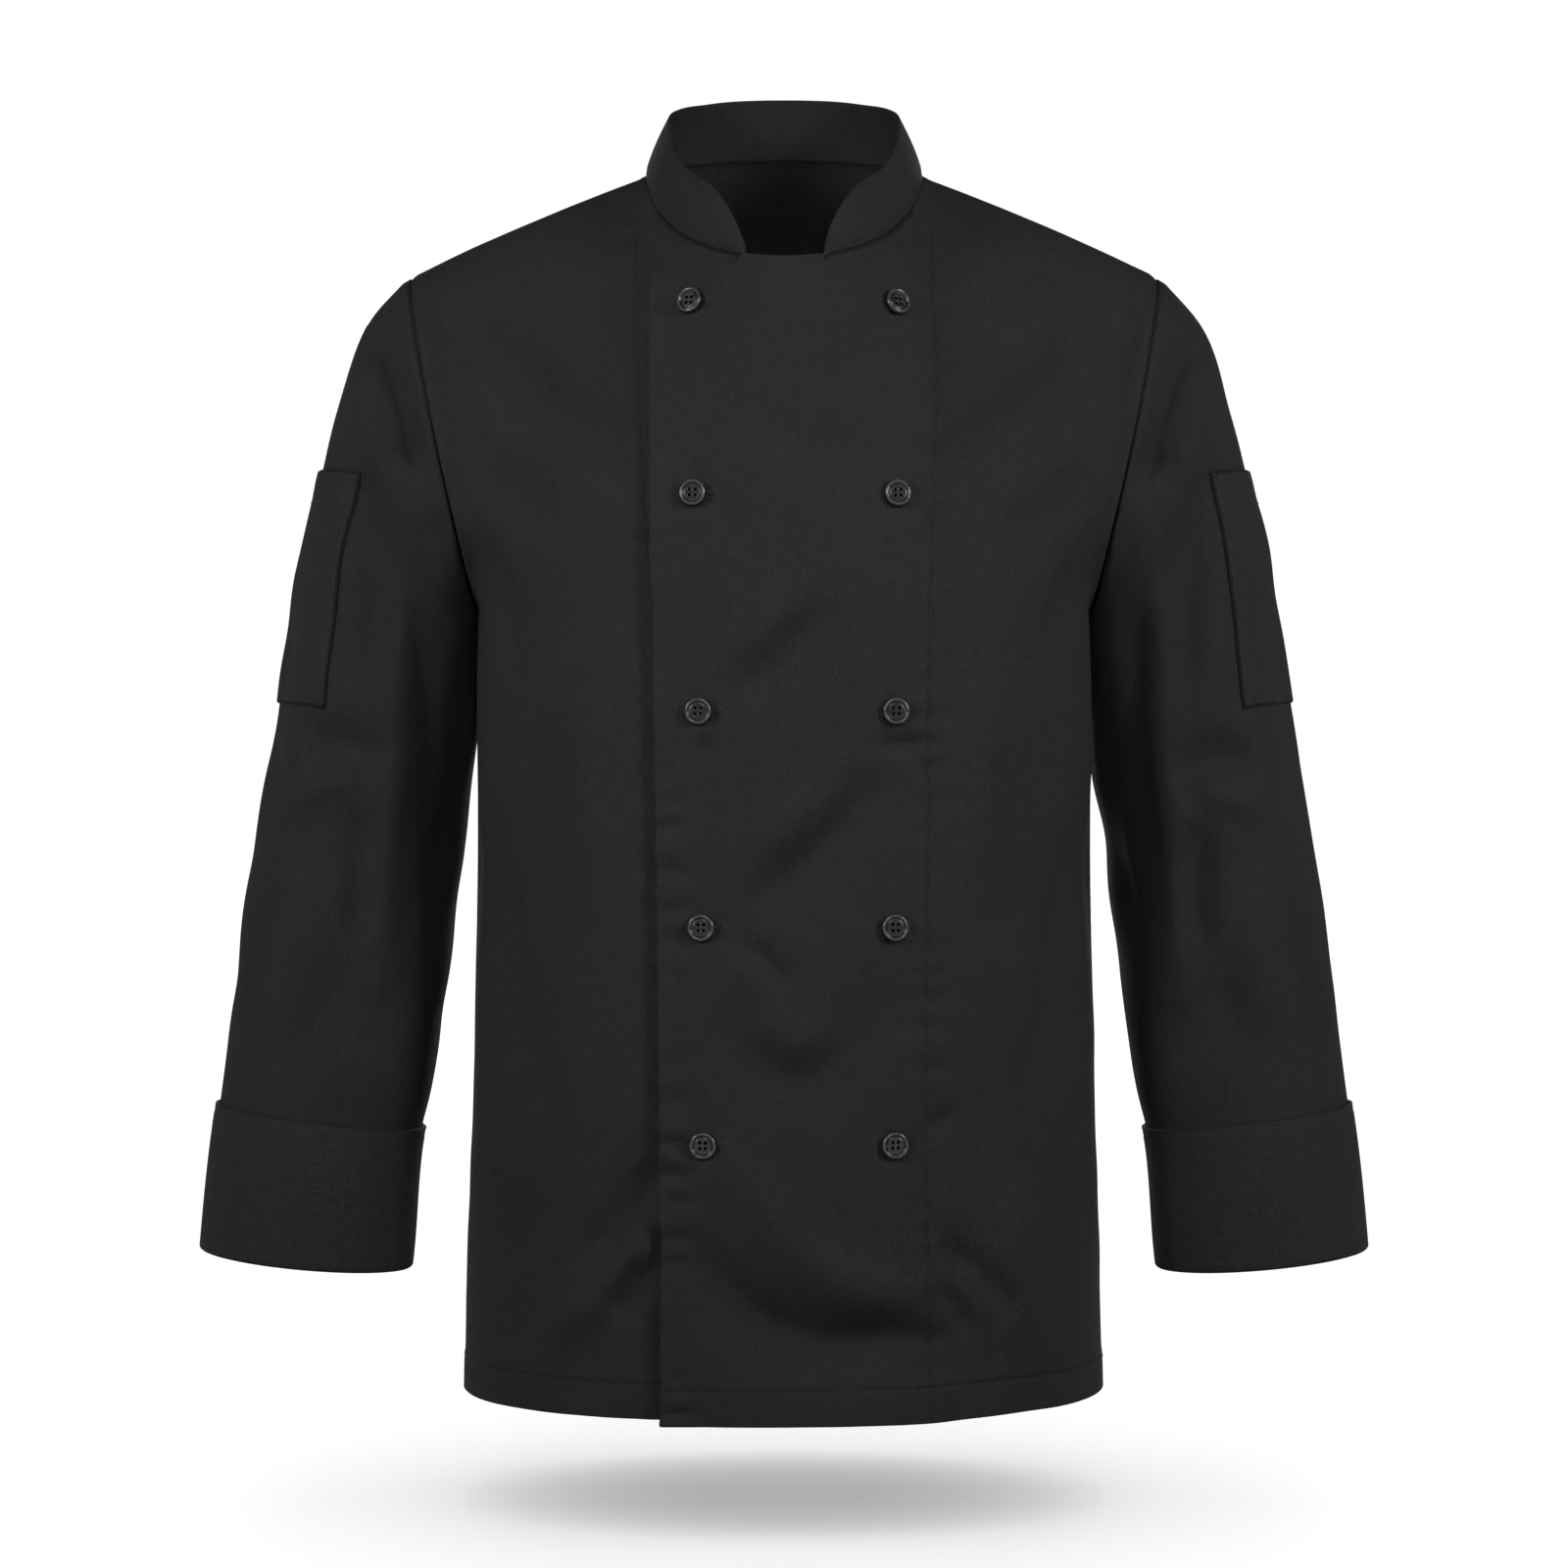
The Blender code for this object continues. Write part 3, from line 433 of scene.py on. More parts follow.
def nearest_on(line, across, up):
    """Each place's distance to a line, where that is (a share of its length), and on which side.

    The side is above 0 on the left of the line.
    """
    steps = np.diff(line, axis=0)
    lengths = np.linalg.norm(steps, axis=1)
    travelled = run_lengths(line)
    nearest = np.full_like(across, np.inf)
    share, side = np.zeros_like(across), np.zeros_like(across)
    for start, step, length, so_far in zip(line, steps, lengths, travelled):
        dx, dz = across - start[0], up - start[1]
        part = np.clip((dx * step[0] + dz * step[1]) / length**2, 0, 1)
        dx, dz = dx - part * step[0], dz - part * step[1]
        distance = np.hypot(dx, dz)
        nearer = distance < nearest
        nearest = np.where(nearer, distance, nearest)
        share = np.where(nearer, (so_far + part * length) / travelled[-1], share)
        side = np.where(nearer, step[0] * dz - step[1] * dx, side)
    return nearest, share, side


def crease_heights(creases, across, up):
    """The sum of the creases at each place on the cloth."""
    total = np.zeros_like(across)
    for crease in creases:
        nearest, share, side = nearest_on(sample_path(crease.path, CREASE_STEPS), across, up)
        width = np.where(side > 0, crease.width, crease.far_width)
        whole = ease(CREASE_FADE - np.abs(2 * share - 1))
        total += RELIEF * crease.depth * whole * bell(nearest, width)
    return total


def path_distance(path, x, z):
    """How far each place is to the left of a path, with a sign."""
    nearest, _, side = nearest_on(sample_path(path, LINE_STEPS), x, z)
    return np.sign(side) * nearest


WAVES = 9
PUCKER_DRIFTS = ((1.4, 0.130), (0.8, 0.071), (0.5, 0.031))  # radians, over this length
PUCKER_BEAT = 0.17  # the gathers grow and shrink over this length


def ripple(across, up, seed, wavelength, stretch=1.0):
    """Gentle unevenness of height about 1, from seeded waves round that length."""
    random = np.random.default_rng(seed)
    total = np.zeros_like(across)
    for _ in range(WAVES):
        angle, phase = random.uniform(0, math.pi), random.uniform(0, 2 * math.pi)
        number = 2 * math.pi / (wavelength * random.uniform(0.7, 1.5))
        total += np.sin(
            number * (across * math.cos(angle) + up * math.sin(angle) / stretch) + phase
        )
    return total / math.sqrt(WAVES)


def pucker(travelled, away, seed, pitch, reach):
    """Little gathers of height about 1 that a line of stitches pulls into the cloth."""
    random = np.random.default_rng(seed)
    drift = sum(
        size * np.sin(2 * math.pi * travelled / length + random.uniform(0, 6))
        for size, length in PUCKER_DRIFTS
    )
    beat = np.sin(2 * math.pi * travelled / PUCKER_BEAT + random.uniform(0, 6))
    gather = np.sin(2 * math.pi * travelled / pitch + drift)
    return gather * (0.6 + 0.4 * beat) * bell(away, reach)


# ---- cloth shells ----


def wrapped(values, closed):
    return np.concatenate([values, values[:, :1]], axis=1) if closed else values


class Shell:
    """A grid of points on a piece's outer side. keep says which of its cells are cloth."""

    def __init__(self, points, away_from, closed=False, keep=None):
        self.points, self.away_from, self.closed = points, away_from, closed
        rows, columns = points.shape[:2]
        cells = (rows - 1, columns if closed else columns - 1)
        self.keep = np.ones(cells, bool) if keep is None else keep
        self.weave = None
        self.normals = self.find_normals()

    def find_normals(self):
        """Outward unit normals, each the mean of the kept cells round a point."""
        grid = wrapped(self.points, self.closed)
        a, b, c, d = grid[:-1, :-1], grid[:-1, 1:], grid[1:, 1:], grid[1:, :-1]
        faces = unit(np.cross(c - a, d - b)) * self.keep[..., None]
        total = np.zeros_like(grid)
        for rows in (slice(0, -1), slice(1, None)):
            for columns in (slice(0, -1), slice(1, None)):
                total[rows, columns] += faces
        if self.closed:
            total[:, 0] += total[:, -1]
            total = total[:, :-1]
        self.turn = 1.0 if np.sum(total * (self.points - self.away_from)) > 0 else -1.0
        return unit(total) * self.turn

    def raise_by(self, heights):
        self.points = self.points + self.normals * heights[..., None]
        self.normals = self.find_normals()

    def edge_points(self):
        """The numbers of the points on the edges of the kept cells."""
        rows, columns = self.points.shape[:2]
        row, column = np.nonzero(self.keep)
        count = np.zeros((rows, columns), int)
        for down in (0, 1):
            for over in (0, 1):
                np.add.at(count, (row + down, (column + over) % columns), 1)
        return np.nonzero(((count > 0) & (count < 4)).reshape(-1))[0]

    def draw_back(self):
        """Moves each seam point half of SEAM_GAP into its own piece."""
        moved = np.zeros_like(self.points)
        moved[0] += unit(self.points[1] - self.points[0])
        moved[-1] += unit(self.points[-2] - self.points[-1])
        if not self.closed:
            moved[:, 0] += unit(self.points[:, 1] - self.points[:, 0])
            moved[:, -1] += unit(self.points[:, -2] - self.points[:, -1])
        self.points = self.points + moved * self.seam[..., None] * SEAM_GAP / 2

    def travelled(self):
        """Each point's way across and up the cloth from its first column and row."""
        return way_over(wrapped(self.points, self.closed))


def lay_grain(shell, column):
    """Weave coordinates of an upright panel: round from one column, and straight up."""
    shell.weave = shell.travelled()
    shell.weave[..., 0] -= shell.weave[:, column : column + 1, 0]
    shell.weave[..., 1] = shell.points[..., 2]


def join(shells):
    """Gives shells that meet at a seam one shared normal there, and draws each back a little."""
    keys, owners = [], []
    for number, shell in enumerate(shells):
        rounded = np.round(shell.points.reshape(-1, 3), 6)
        edge = shell.edge_points()
        keys.append(rounded[edge])
        owners.append(np.stack([np.full(len(edge), number), edge], axis=1))
    keys, owners = np.concatenate(keys), np.concatenate(owners)
    _, place = np.unique(keys, axis=0, return_inverse=True)
    place = place.reshape(-1)
    normals = np.array([shells[n].normals.reshape(-1, 3)[i] for n, i in owners])
    total = np.zeros((place.max() + 1, 3))
    np.add.at(total, place, normals)
    total = unit(total)
    for number, shell in enumerate(shells):
        mine = owners[:, 0] == number
        flat = shell.normals.reshape(-1, 3).copy()
        met = np.bincount(place)[place[mine]] > 1
        flat[owners[mine, 1][met]] = total[place[mine][met]]
        shell.normals = flat.reshape(shell.points.shape)
        shell.seam = np.zeros(shell.points.shape[:2], bool)
        shell.seam.reshape(-1)[owners[mine, 1][met]] = True
        shell.draw_back()


def cell_corners(row, column, rows, columns):
    """The numbers of the points round each cell of a grid, which may close on itself."""
    below, after = (row + 1) % rows, (column + 1) % columns
    return np.stack([row * columns + column, row * columns + after,
                     below * columns + after, below * columns + column], axis=1)


def cell_ways(way, row, column):
    """The weave coordinates at the corners of each cell, in the same order."""
    return np.stack([way[row, column], way[row, column + 1],
                     way[row + 1, column + 1], way[row + 1, column]], axis=1)


def free_edges(ring, uvs, count):
    """The edges that only one cell has: the numbers and weave coordinates of their ends."""
    begin, end = ring.reshape(-1), np.roll(ring, -1, axis=1).reshape(-1)
    uv_begin, uv_end = uvs.reshape(-1, 2), np.roll(uvs, -1, axis=1).reshape(-1, 2)
    free = ~np.isin(begin * count + end, end * count + begin)
    return begin[free], end[free], uv_begin[free], uv_end[free]


def add_object(name, data):
    made = bpy.data.objects.new(name, data)
    bpy.context.scene.collection.objects.link(made)
    return made


def add_mesh(name, points, faces, corner_uvs, material, marks):
    """A smooth mesh object of four-sided faces. marks are named values at its points."""
    mesh = bpy.data.meshes.new(name)
    mesh.from_pydata(points.tolist(), [], faces.tolist())
    mesh.shade_smooth()
    layer = mesh.uv_layers.new(name="weave")
    layer.data.foreach_set("uv", np.asarray(corner_uvs, np.float32).reshape(-1))
    for mark, values in marks:
        attribute = mesh.attributes.new(mark, "FLOAT", "POINT")
        attribute.data.foreach_set("value", np.asarray(values, np.float32))
    mesh.materials.append(material)
    return add_object(name, mesh)


EDGE_ROUNDNESS = 0.45  # how far a free edge bulges, in thicknesses of its cloth


def add_shell(name, shell, wall, material, marks):
    """Both sides of a cloth shell and the rounded strip that closes each of its edges."""
    rows, columns = shell.points.shape[:2]
    outer = shell.points.reshape(-1, 3)
    inner = (shell.points - shell.normals * wall).reshape(-1, 3)
    row, column = np.nonzero(shell.keep)
    ring = cell_corners(row, column, rows, columns)
    uvs = cell_ways(shell.travelled() if shell.weave is None else shell.weave, row, column)
    if shell.turn < 0:
        ring, uvs = ring[:, ::-1], uvs[:, ::-1]
    count = rows * columns
    begin, end, uv_begin, uv_end = free_edges(ring, uvs, count)
    out = np.zeros_like(outer)
    step = np.cross(outer[end] - outer[begin], shell.normals.reshape(-1, 3)[begin])
    np.add.at(out, begin, step)
    np.add.at(out, end, step)
    reach = np.where(shell.seam.reshape(-1), SEAM_ALLOWANCE, wall * EDGE_ROUNDNESS)[:, None]
    middle = (outer + inner) / 2 + unit(out) * reach
    faces = np.concatenate([
        ring,
        ring[:, ::-1] + count,
        np.stack([end, begin, begin + 2 * count, end + 2 * count], axis=1),
        np.stack([end + 2 * count, begin + 2 * count, begin + count, end + count], axis=1),
    ])
    strip = np.stack([uv_end, uv_begin, uv_begin, uv_end], axis=1)
    corner_uvs = np.concatenate([uvs, uvs[:, ::-1], strip, strip])
    points = np.concatenate([outer, inner, middle])
    used, faces = np.unique(faces, return_inverse=True)
    faces = faces.reshape(-1, 4)
    marks = [(mark, np.tile(values.reshape(-1), 3)[used]) for mark, values in marks]
    return add_mesh(name, points[used], faces, corner_uvs, material, marks)


# ---- the fronts and the back ----

CHEST_CREASES = creases((
    (((-216, -76), (-157, -130), (-108, -168)), 17, 24, -34),
    (((208, -92), (150, -143), (100, -188)), 26, 17, -34),
    (((-190, -165), (-150, -205), (-120, -212)), 14, 18, -16),
    (((186, -180), (152, -214), (118, -226)), 18, 14, -16),
    (((-180, -226), (-167, -262), (-158, -300)), 9, 13, -24),
    (((178, -230), (166, -268), (156, -304)), 13, 9, -24),
    (((-30, -150), (10, -176), (52, -180)), 16, 20, -12),
))
BELLY_CREASES = creases((
    (((30, -262), (4, -293), (-22, -316), (-36, -326)), 18, 13, -22),
    (((14, -256), (-12, -285), (-34, -303)), 14, 14, 14),
    (((53, -350), (81, -348)), 6, 7, -18),
    (((-52, -349), (-40, -352)), 6, 7, -16),
    (((75, -375), (48, -378), (27, -400), (1, -426), (-24, -451)), 20, 14, -26),
    (((40, -368), (14, -390), (-16, -420)), 14, 14, 14),
    (((-30, -470), (-4, -498)), 7, 8, 18),
    (((-22, -461), (3, -491)), 8, 12, -20),
    (((-37, -497), (-27, -516), (-11, -532), (10, -542), (33, -528),
     (56, -502), (68, -479)), 18, 22, -19),
    (((-20, -500), (4, -521), (28, -512)), 14, 14, 14),
    (((80, -570), (99, -562)), 6, 8, -14),
    (((105, -300), (120, -375), (112, -450)), 24, 30, 18),
    (((-105, -290), (-118, -370), (-104, -455)), 26, 24, 18),
    (((-140, -330), (-132, -400), (-138, -470)), 16, 18, -16),
    (((136, -345), (130, -420), (134, -480)), 18, 16, -16),
))
HEM_CREASES = creases((
    (((-36, -584), (-13, -609), (10, -642), (47, -662), (94, -676)), 14, 16, 24),
    (((-63, -634), (-41, -653), (-9, -681), (33, -692), (75, -688), (112, -706)), 15, 22, -34),
    (((90, -632), (112, -656), (136, -683)), 8, 12, -26),
    (((87, -658), (112, -690)), 8, 10, -20),
    (((100, -652), (124, -682)), 9, 9, 14),
    (((-71, -584), (-92, -623), (-120, -660)), 12, 14, -26),
    (((-76, -618), (-108, -669), (-139, -695)), 12, 12, 24),
    (((-77, -646), (-102, -683)), 9, 12, -26),
    (((-176, -390), (-158, -498), (-137, -577)), 12, 18, -32),
    (((176, -388), (160, -498), (143, -563)), 18, 12, -32),
    (((140, -590), (134, -650), (142, -715)), 16, 18, 18),
    (((-150, -600), (-158, -715)), 18, 20, -20),
))
FRONT_CREASES = CHEST_CREASES + BELLY_CREASES + HEM_CREASES
# Lines on the fronts, as seen from the front: points of (x, z).
FACING_LEFT = ((0.0885, -0.034), (0.0880, -0.160), (0.0845, -0.262), (0.0825, -0.430),
               (0.0820, -0.595), (0.0840, -0.714))
FACING_RIGHT = ((-0.0885, -0.034), (-0.0870, -0.085), (-0.0835, -0.160), (-0.0790, -0.230),
                (-0.0745, -0.262))
LAP_EDGE = ((-0.0745, -0.074), (-0.0748, -0.262), (-0.0720, -0.372), (-0.0695, -0.512),
            (-0.0677, -0.625), (-0.0660, -0.740))
BUTTON_PLACES = (
    (-0.0545, -0.0900), (-0.0526, -0.2040), (-0.0493, -0.3300), (-0.0476, -0.4545),
    (-0.0465, -0.5795), (0.0660, -0.0900), (0.0655, -0.2040), (0.0644, -0.3300),
    (0.0638, -0.4545), (0.0638, -0.5795),
)
BACK_CREASES = creases((
    (((-208, -110), (-150, -175), (-90, -230)), 18, 24, -34),
    (((206, -118), (155, -180), (96, -226)), 24, 18, -34),
    (((-176, -205), (-120, -270), (-60, -296)), 16, 20, -22),
    (((-60, -105), (0, -128), (70, -112)), 18, 24, -16),
    (((-128, -352), (-50, -398), (34, -424)), 15, 23, -36),
    (((140, -404), (80, -452), (8, -482)), 22, 15, -34),
    (((-100, -430), (-30, -480), (20, -520)), 13, 16, 22),
    (((-92, -530), (-80, -620), (-68, -722)), 19, 23, -36),
    (((92, -548), (82, -640), (74, -730)), 18, 22, 32),
    (((12, -590), (4, -660), (14, -725)), 16, 19, -20),
    (((-166, -310), (-160, -400), (-150, -500)), 20, 24, -24),
    (((168, -330), (158, -430), (152, -520)), 24, 19, -26),
))
SEAM_DIP, SEAM_REACH = 0.0014, 0.0028
EDGE_FADE = 0.020  # creases fade out over this length at a seam
# A ripple is its height, seed, wavelength and how much longer it is up the cloth than across.
FINE_RIPPLE = 0.00022
FRONT_RIPPLES = ((0.0006, 4, 0.085, 1.6), (FINE_RIPPLE, 14, 0.030, 1.8))
BACK_RIPPLES = ((0.0007, 11, 0.090, 1.6), (FINE_RIPPLE, 15, 0.030, 1.8))
# Gathers along stitches: their height, pitch and how far they reach from the line.
FACING_PUCKER, FACING_PITCH, FACING_REACH = 0.0009, 0.019, 0.014
LAP_PUCKER, LAP_PITCH, LAP_REACH = 0.0017, 0.019, 0.010
LAP_PUCKER_IN = 0.006  # the lap's gathers lie this far in from its edge
LAP_PUCKER_SPAN = (-0.33, -0.05)
BUTTON_DIMPLE, BUTTON_DIMPLE_REACH = 0.0019, 0.0115
BUTTON_PULL, BUTTON_PULL_REACH = 0.0006, 0.020
PULLS, PULL_TURN = 3, 40  # folds that run to a button, and their turn in radians a metre of x
LAP_STEP = WALL + LAP_GAP
LAP_STEP_ACROSS = (0.105, -0.022)
LAP_STEP_DOWN = (-0.030, -0.030)
LAP_DROP_SPAN = (0.6, -0.5)
LAP_DROP_HEIGHT = 0.12
LAP_ROLL = 0.0022  # the over front's folded edge stands off this much more
LAP_ROLL_REACH = 0.0060
LAP_SINK = 0.0019  # and the under front sinks this much beside it
LAP_SINK_REACH = 0.006
LAP_SINK_OUT = 0.002
LAP_SINK_SPAN = (LAP_TOP_Z[0] + 0.004, -0.012)

FRONT_COLUMNS = mirrored(HALF_STATIONS)
BACK_COLUMNS = mirrored(BACK_STATIONS)
OVER_COLUMNS = FRONT_COLUMNS[FRONT_COLUMNS > -LAP_EDGE_AT - 1e-6]
UNDER_COLUMNS = FRONT_COLUMNS[FRONT_COLUMNS < LAP_EDGE_AT + 1e-6]


def axis_of(points, down=0.0):
    axis = np.zeros_like(points)
    axis[..., 2] = points[..., 2] - down
    return axis


def seam_distance(shell, sides):
    """How far each point is from the top seams and from the side seams of those columns."""
    way = shell.travelled()
    near = way[-1:, :, 1] - way[..., 1]
    if "first" in sides:
        near = np.minimum(near, way[..., 0])
    if "last" in sides:
        near = np.minimum(near, way[:, -1:, 0] - way[..., 0])
    return near


def edge_distance(shell):
    """How far each point is from the nearest edge of its piece."""
    way = shell.travelled()
    across = np.minimum(way[..., 0], way[:, -1:, 0] - way[..., 0])
    return np.minimum(across, np.minimum(way[..., 1], way[-1:, :, 1] - way[..., 1]))


def rippled(heights, x, z, ripples):
    for height, seed, wavelength, stretch in ripples:
        heights = heights + height * ripple(x, z, seed, wavelength, stretch)
    return heights


def front_relief(points, distance):
    x, z = points[..., 0], points[..., 2]
    heights = crease_heights(FRONT_CREASES, x, z)
    for seed, facing in ((5, FACING_LEFT), (6, FACING_RIGHT)):
        away = path_distance(facing, x, z)
        heights = heights + FACING_PUCKER * pucker(z, away, seed, FACING_PITCH, FACING_REACH)
    away = path_distance(LAP_EDGE, x, z) - LAP_PUCKER_IN
    depth = LAP_PUCKER * ease_over(z, LAP_PUCKER_SPAN)
    heights = heights + depth * pucker(z, away, 9, LAP_PITCH, LAP_REACH)
    for x_button, z_button in BUTTON_PLACES:
        across, up = x - x_button, z - z_button
        away = np.hypot(across, up)
        pull = np.cos(PULLS * np.arctan2(up, across) + PULL_TURN * x_button)
        pull = pull * bell(away, BUTTON_PULL_REACH)
        dimple = BUTTON_DIMPLE * bell(away, BUTTON_DIMPLE_REACH)
        heights = heights - dimple + BUTTON_PULL * pull
    return rippled(heights, x, z, FRONT_RIPPLES) * ease(distance / EDGE_FADE)


def back_relief(points, distance):
    x, z = points[..., 0], points[..., 2]
    heights = crease_heights(BACK_CREASES, x, z)
    return rippled(heights, x, z, BACK_RIPPLES) * ease(distance / EDGE_FADE)


def lapped_surface(whole):
    """The over front's surface: it steps off the under front's and hangs lower at the lap."""
    lapped = Shell(whole.points.copy(), whole.away_from)
    across, down = (whole.points[..., axis] for axis in (0, 2))
    lapped.raise_by(
        LAP_STEP * ease_over(across, LAP_STEP_ACROSS) * ease_over(down, LAP_STEP_DOWN)
    )
    drop = LAP_DROP * ease_over(FRONT_COLUMNS, LAP_DROP_SPAN)
    low = ease((HEM_Z + LAP_DROP_HEIGHT - lapped.points[..., 2]) / LAP_DROP_HEIGHT)
    lapped.points[..., 2] -= drop * low
    return lapped.points


def front_panels():
    """The under and over fronts, cut from one surface, which the over front stands off."""
    points = front_surface(FRONT_COLUMNS)
    whole = Shell(points, axis_of(points))
    whole.raise_by(front_relief(points, seam_distance(whole, ("first", "last"))))
    first = len(FRONT_COLUMNS) - len(OVER_COLUMNS)
    below_level = np.arange(TOP_ROW)[:, None] < LEVEL_ROW
    over = Shell(
        lapped_surface(whole)[:, first:], whole.away_from[:, first:],
        keep=below_level | (OVER_COLUMNS[:-1] > COLLAR_END_AT - 1e-6),
    )
    way = over.travelled()
    below_top = way[LEVEL_ROW, :, 1] - way[..., 1]
    on_lap = OVER_COLUMNS < COLLAR_END_AT
    edge = np.minimum(way[..., 0], np.where(on_lap, below_top, np.inf))
    over.raise_by(LAP_ROLL * bell(edge, LAP_ROLL_REACH))
    last = len(UNDER_COLUMNS)
    under = Shell(
        whole.points[:, :last], whole.away_from[:, :last],
        keep=below_level | (UNDER_COLUMNS[1:] < -COLLAR_END_AT + 1e-6),
    )
    x, z = under.points[..., 0], under.points[..., 2]
    beside = path_distance(LAP_EDGE, x, z) + LAP_SINK_OUT
    under.raise_by(-LAP_SINK * ease_over(z, LAP_SINK_SPAN) * bell(beside, LAP_SINK_REACH))
    return under, over


def back_panel():
    points = back_surface(BACK_COLUMNS)
    back = Shell(points, axis_of(points, down=0.02))
    back.raise_by(back_relief(points, seam_distance(back, ("first", "last"))))
    return back


# ---- collar ----

COLLAR_SHARES = clustered(0, 1, 14, near_start=(0.02, 0.045), near_end=(0.03,))
COLLAR_BULGE = 0.0012


def make_collar(under, over, back):
    """One band on the whole neckline, from the under front round the back to the over front."""
    right = (UNDER_COLUMNS < -COLLAR_END_AT + 1e-6) & (UNDER_COLUMNS > -NECK_POINT_AT - 1e-6)
    left = (OVER_COLUMNS > COLLAR_END_AT - 1e-6) & (OVER_COLUMNS < NECK_POINT_AT + 1e-6)
    rear = np.abs(BACK_COLUMNS) < NECK_POINT_AT + 1e-6
    base = np.concatenate([
        under.points[-1, right][::-1], back.points[-1, rear][1:-1], over.points[-1, left][::-1]
    ])
    travelled = run_lengths(base)
    from_end = np.minimum(travelled, travelled[-1] - travelled)
    outwards = base - np.array([0.0, NECK_Y, 0.0])
    outwards[:, 2] = 0
    outwards = unit(outwards)
    lean = COLLAR_LEAN[0] + (COLLAR_LEAN[1] - COLLAR_LEAN[0]) * outwards[:, 0] ** 2
    rounding = 1 - (1 - np.minimum(1.0, from_end / COLLAR_ROUND)) ** 3
    height = COLLAR_END + (COLLAR_HEIGHT - COLLAR_END) * rounding
    up = np.cos(lean)[:, None] * np.array([0.0, 0.0, 1.0]) - outwards * np.sin(lean)[:, None]
    share = COLLAR_SHARES[:, None, None]
    points = base + up * height[:, None] * share
    points = points + outwards * COLLAR_BULGE * np.sin(math.pi * share)
    axis = np.zeros_like(points)
    axis[..., 1], axis[..., 2] = NECK_Y, points[..., 2]
    return Shell(points, axis)


# ---- sleeves, pockets and cuffs ----

# On a sleeve a crease's path is (degrees round from the inner point by the front, z).
SLEEVE_RELIEF = 1.2
SLEEVE_CREASES = creases((
    (((152, -104), (132, -116), (108, -150), (92, -182)), 9, 14, -32),
    (((140, -130), (118, -160), (104, -196)), 12, 12, 16),
    (((108, -172), (64, -186), (40, -190)), 9, 13, -30),
    (((116, -180), (96, -245), (86, -330)), 13, 18, -30),
    (((66, -230), (60, -330), (56, -420), (54, -505)), 13, 20, -36),
    (((124, -367), (110, -353), (93, -357), (83, -374)), 8, 14, -24),
    (((126, -388), (108, -376), (96, -384)), 9, 10, 14),
    (((92, -388), (85, -440), (80, -474)), 10, 15, -28),
    (((118, -430), (114, -500), (119, -565)), 14, 14, 20),
    (((97, -480), (90, -530), (94, -570)), 11, 13, -20),
    (((74, -522), (60, -556), (48, -580)), 9, 14, -32),
    (((138, -440), (142, -510), (138, -570)), 14, 16, -18),
    (((160, -250), (166, -330), (158, -410)), 18, 22, -16),
    (((214, -150), (236, -200), (262, -235)), 14, 18, -26),
    (((212, -354), (250, -362), (292, -388)), 12, 18, -22),
    (((222, -392), (262, -404), (300, -432)), 12, 15, 16),
    (((236, -424), (246, -480), (252, -548)), 14, 17, -28),
    (((292, -470), (284, -520), (290, -570)), 13, 16, -24),
    (((326, -330), (340, -400), (336, -470)), 15, 18, -22),
    (((30, -310), (26, -400), (30, -490)), 18, 20, -22),
), degrees)
SEAM_ROWS = (0.0, 0.007, 0.016, 0.028)  # extra rows close to the armhole seam, in rings
SLEEVE_ROWS = np.unique(np.round(np.concatenate([
    SEAM_ROWS,
    *[number + np.arange(1, ring.rows + 1) / ring.rows for number, ring in enumerate(SLEEVE)],
]), 6))
SLEEVE_TURNS = np.concatenate([UPPER_HEIGHTS * 180, 360 - UPPER_HEIGHTS[-2:0:-1] * 180])


def ring_points(ring, sign):
    """The points of one sleeve ring: from the inner point by the front to the outer point."""
    angle = np.radians(SLEEVE_TURNS + ring.twist)
    inwards = (1 + np.cos(angle)) / 2
    x = ring.outer_x + (ring.inner_x - ring.outer_x) * inwards
    z = ring.outer_z + (ring.inner_z - ring.outer_z) * inwards**ring.droop
    return np.stack([sign * x, ring.y - ring.half_depth * np.sin(angle), z], axis=-1)


BODY_CLEARANCE = 0.0008
HANG_SPAN = (-0.414, 0.078)  # the upper sleeve rests on the body, more and more up from here
HANG_TOP_SPAN = (CHEST_Z + 0.002, -0.008)
HANG_IN_SPAN = (0.45, 0.50)  # a share of the way in from the sleeve's outer line
ELBOW_Z, ELBOW_REACH, ELBOW_FULLNESS = -0.330, 0.070, 0.0038
CREASE_TURN, CREASE_SHIFT = 3, 0.004  # degrees and metres by which a sleeve's creases are moved
SLEEVE_RIPPLE, SLEEVE_RIPPLE_LENGTH, SLEEVE_RIPPLE_RADIUS = 0.0006, 0.080, 0.070
SLEEVE_FADE = 0.9  # rings over which the creases fade out at either end
SLEEVE_FLAT = 0.2  # rings above the cuff that have none


def hang_against_body(points, sign):
    """Lets the inner side of the upper sleeve fall in until it all but touches the body."""
    z = points[..., 2]
    inwards = (1 + np.cos(np.radians(SLEEVE_TURNS))) / 2
    half_width = along(TORSO_Z, TORSO_SHAPE[:, 0], np.clip(z, HEM_Z, CHEST_Z))
    gap = np.min(np.abs(points[..., 0]), axis=1, keepdims=True) - half_width - BODY_CLEARANCE
    level = points[:, :1, 2]
    whole = ease_over(level, HANG_SPAN) * ease_over(level, HANG_TOP_SPAN)
    points = points.copy()
    points[..., 0] -= sign * np.maximum(gap, 0) * whole * ease_over(inwards, HANG_IN_SPAN)
    return points


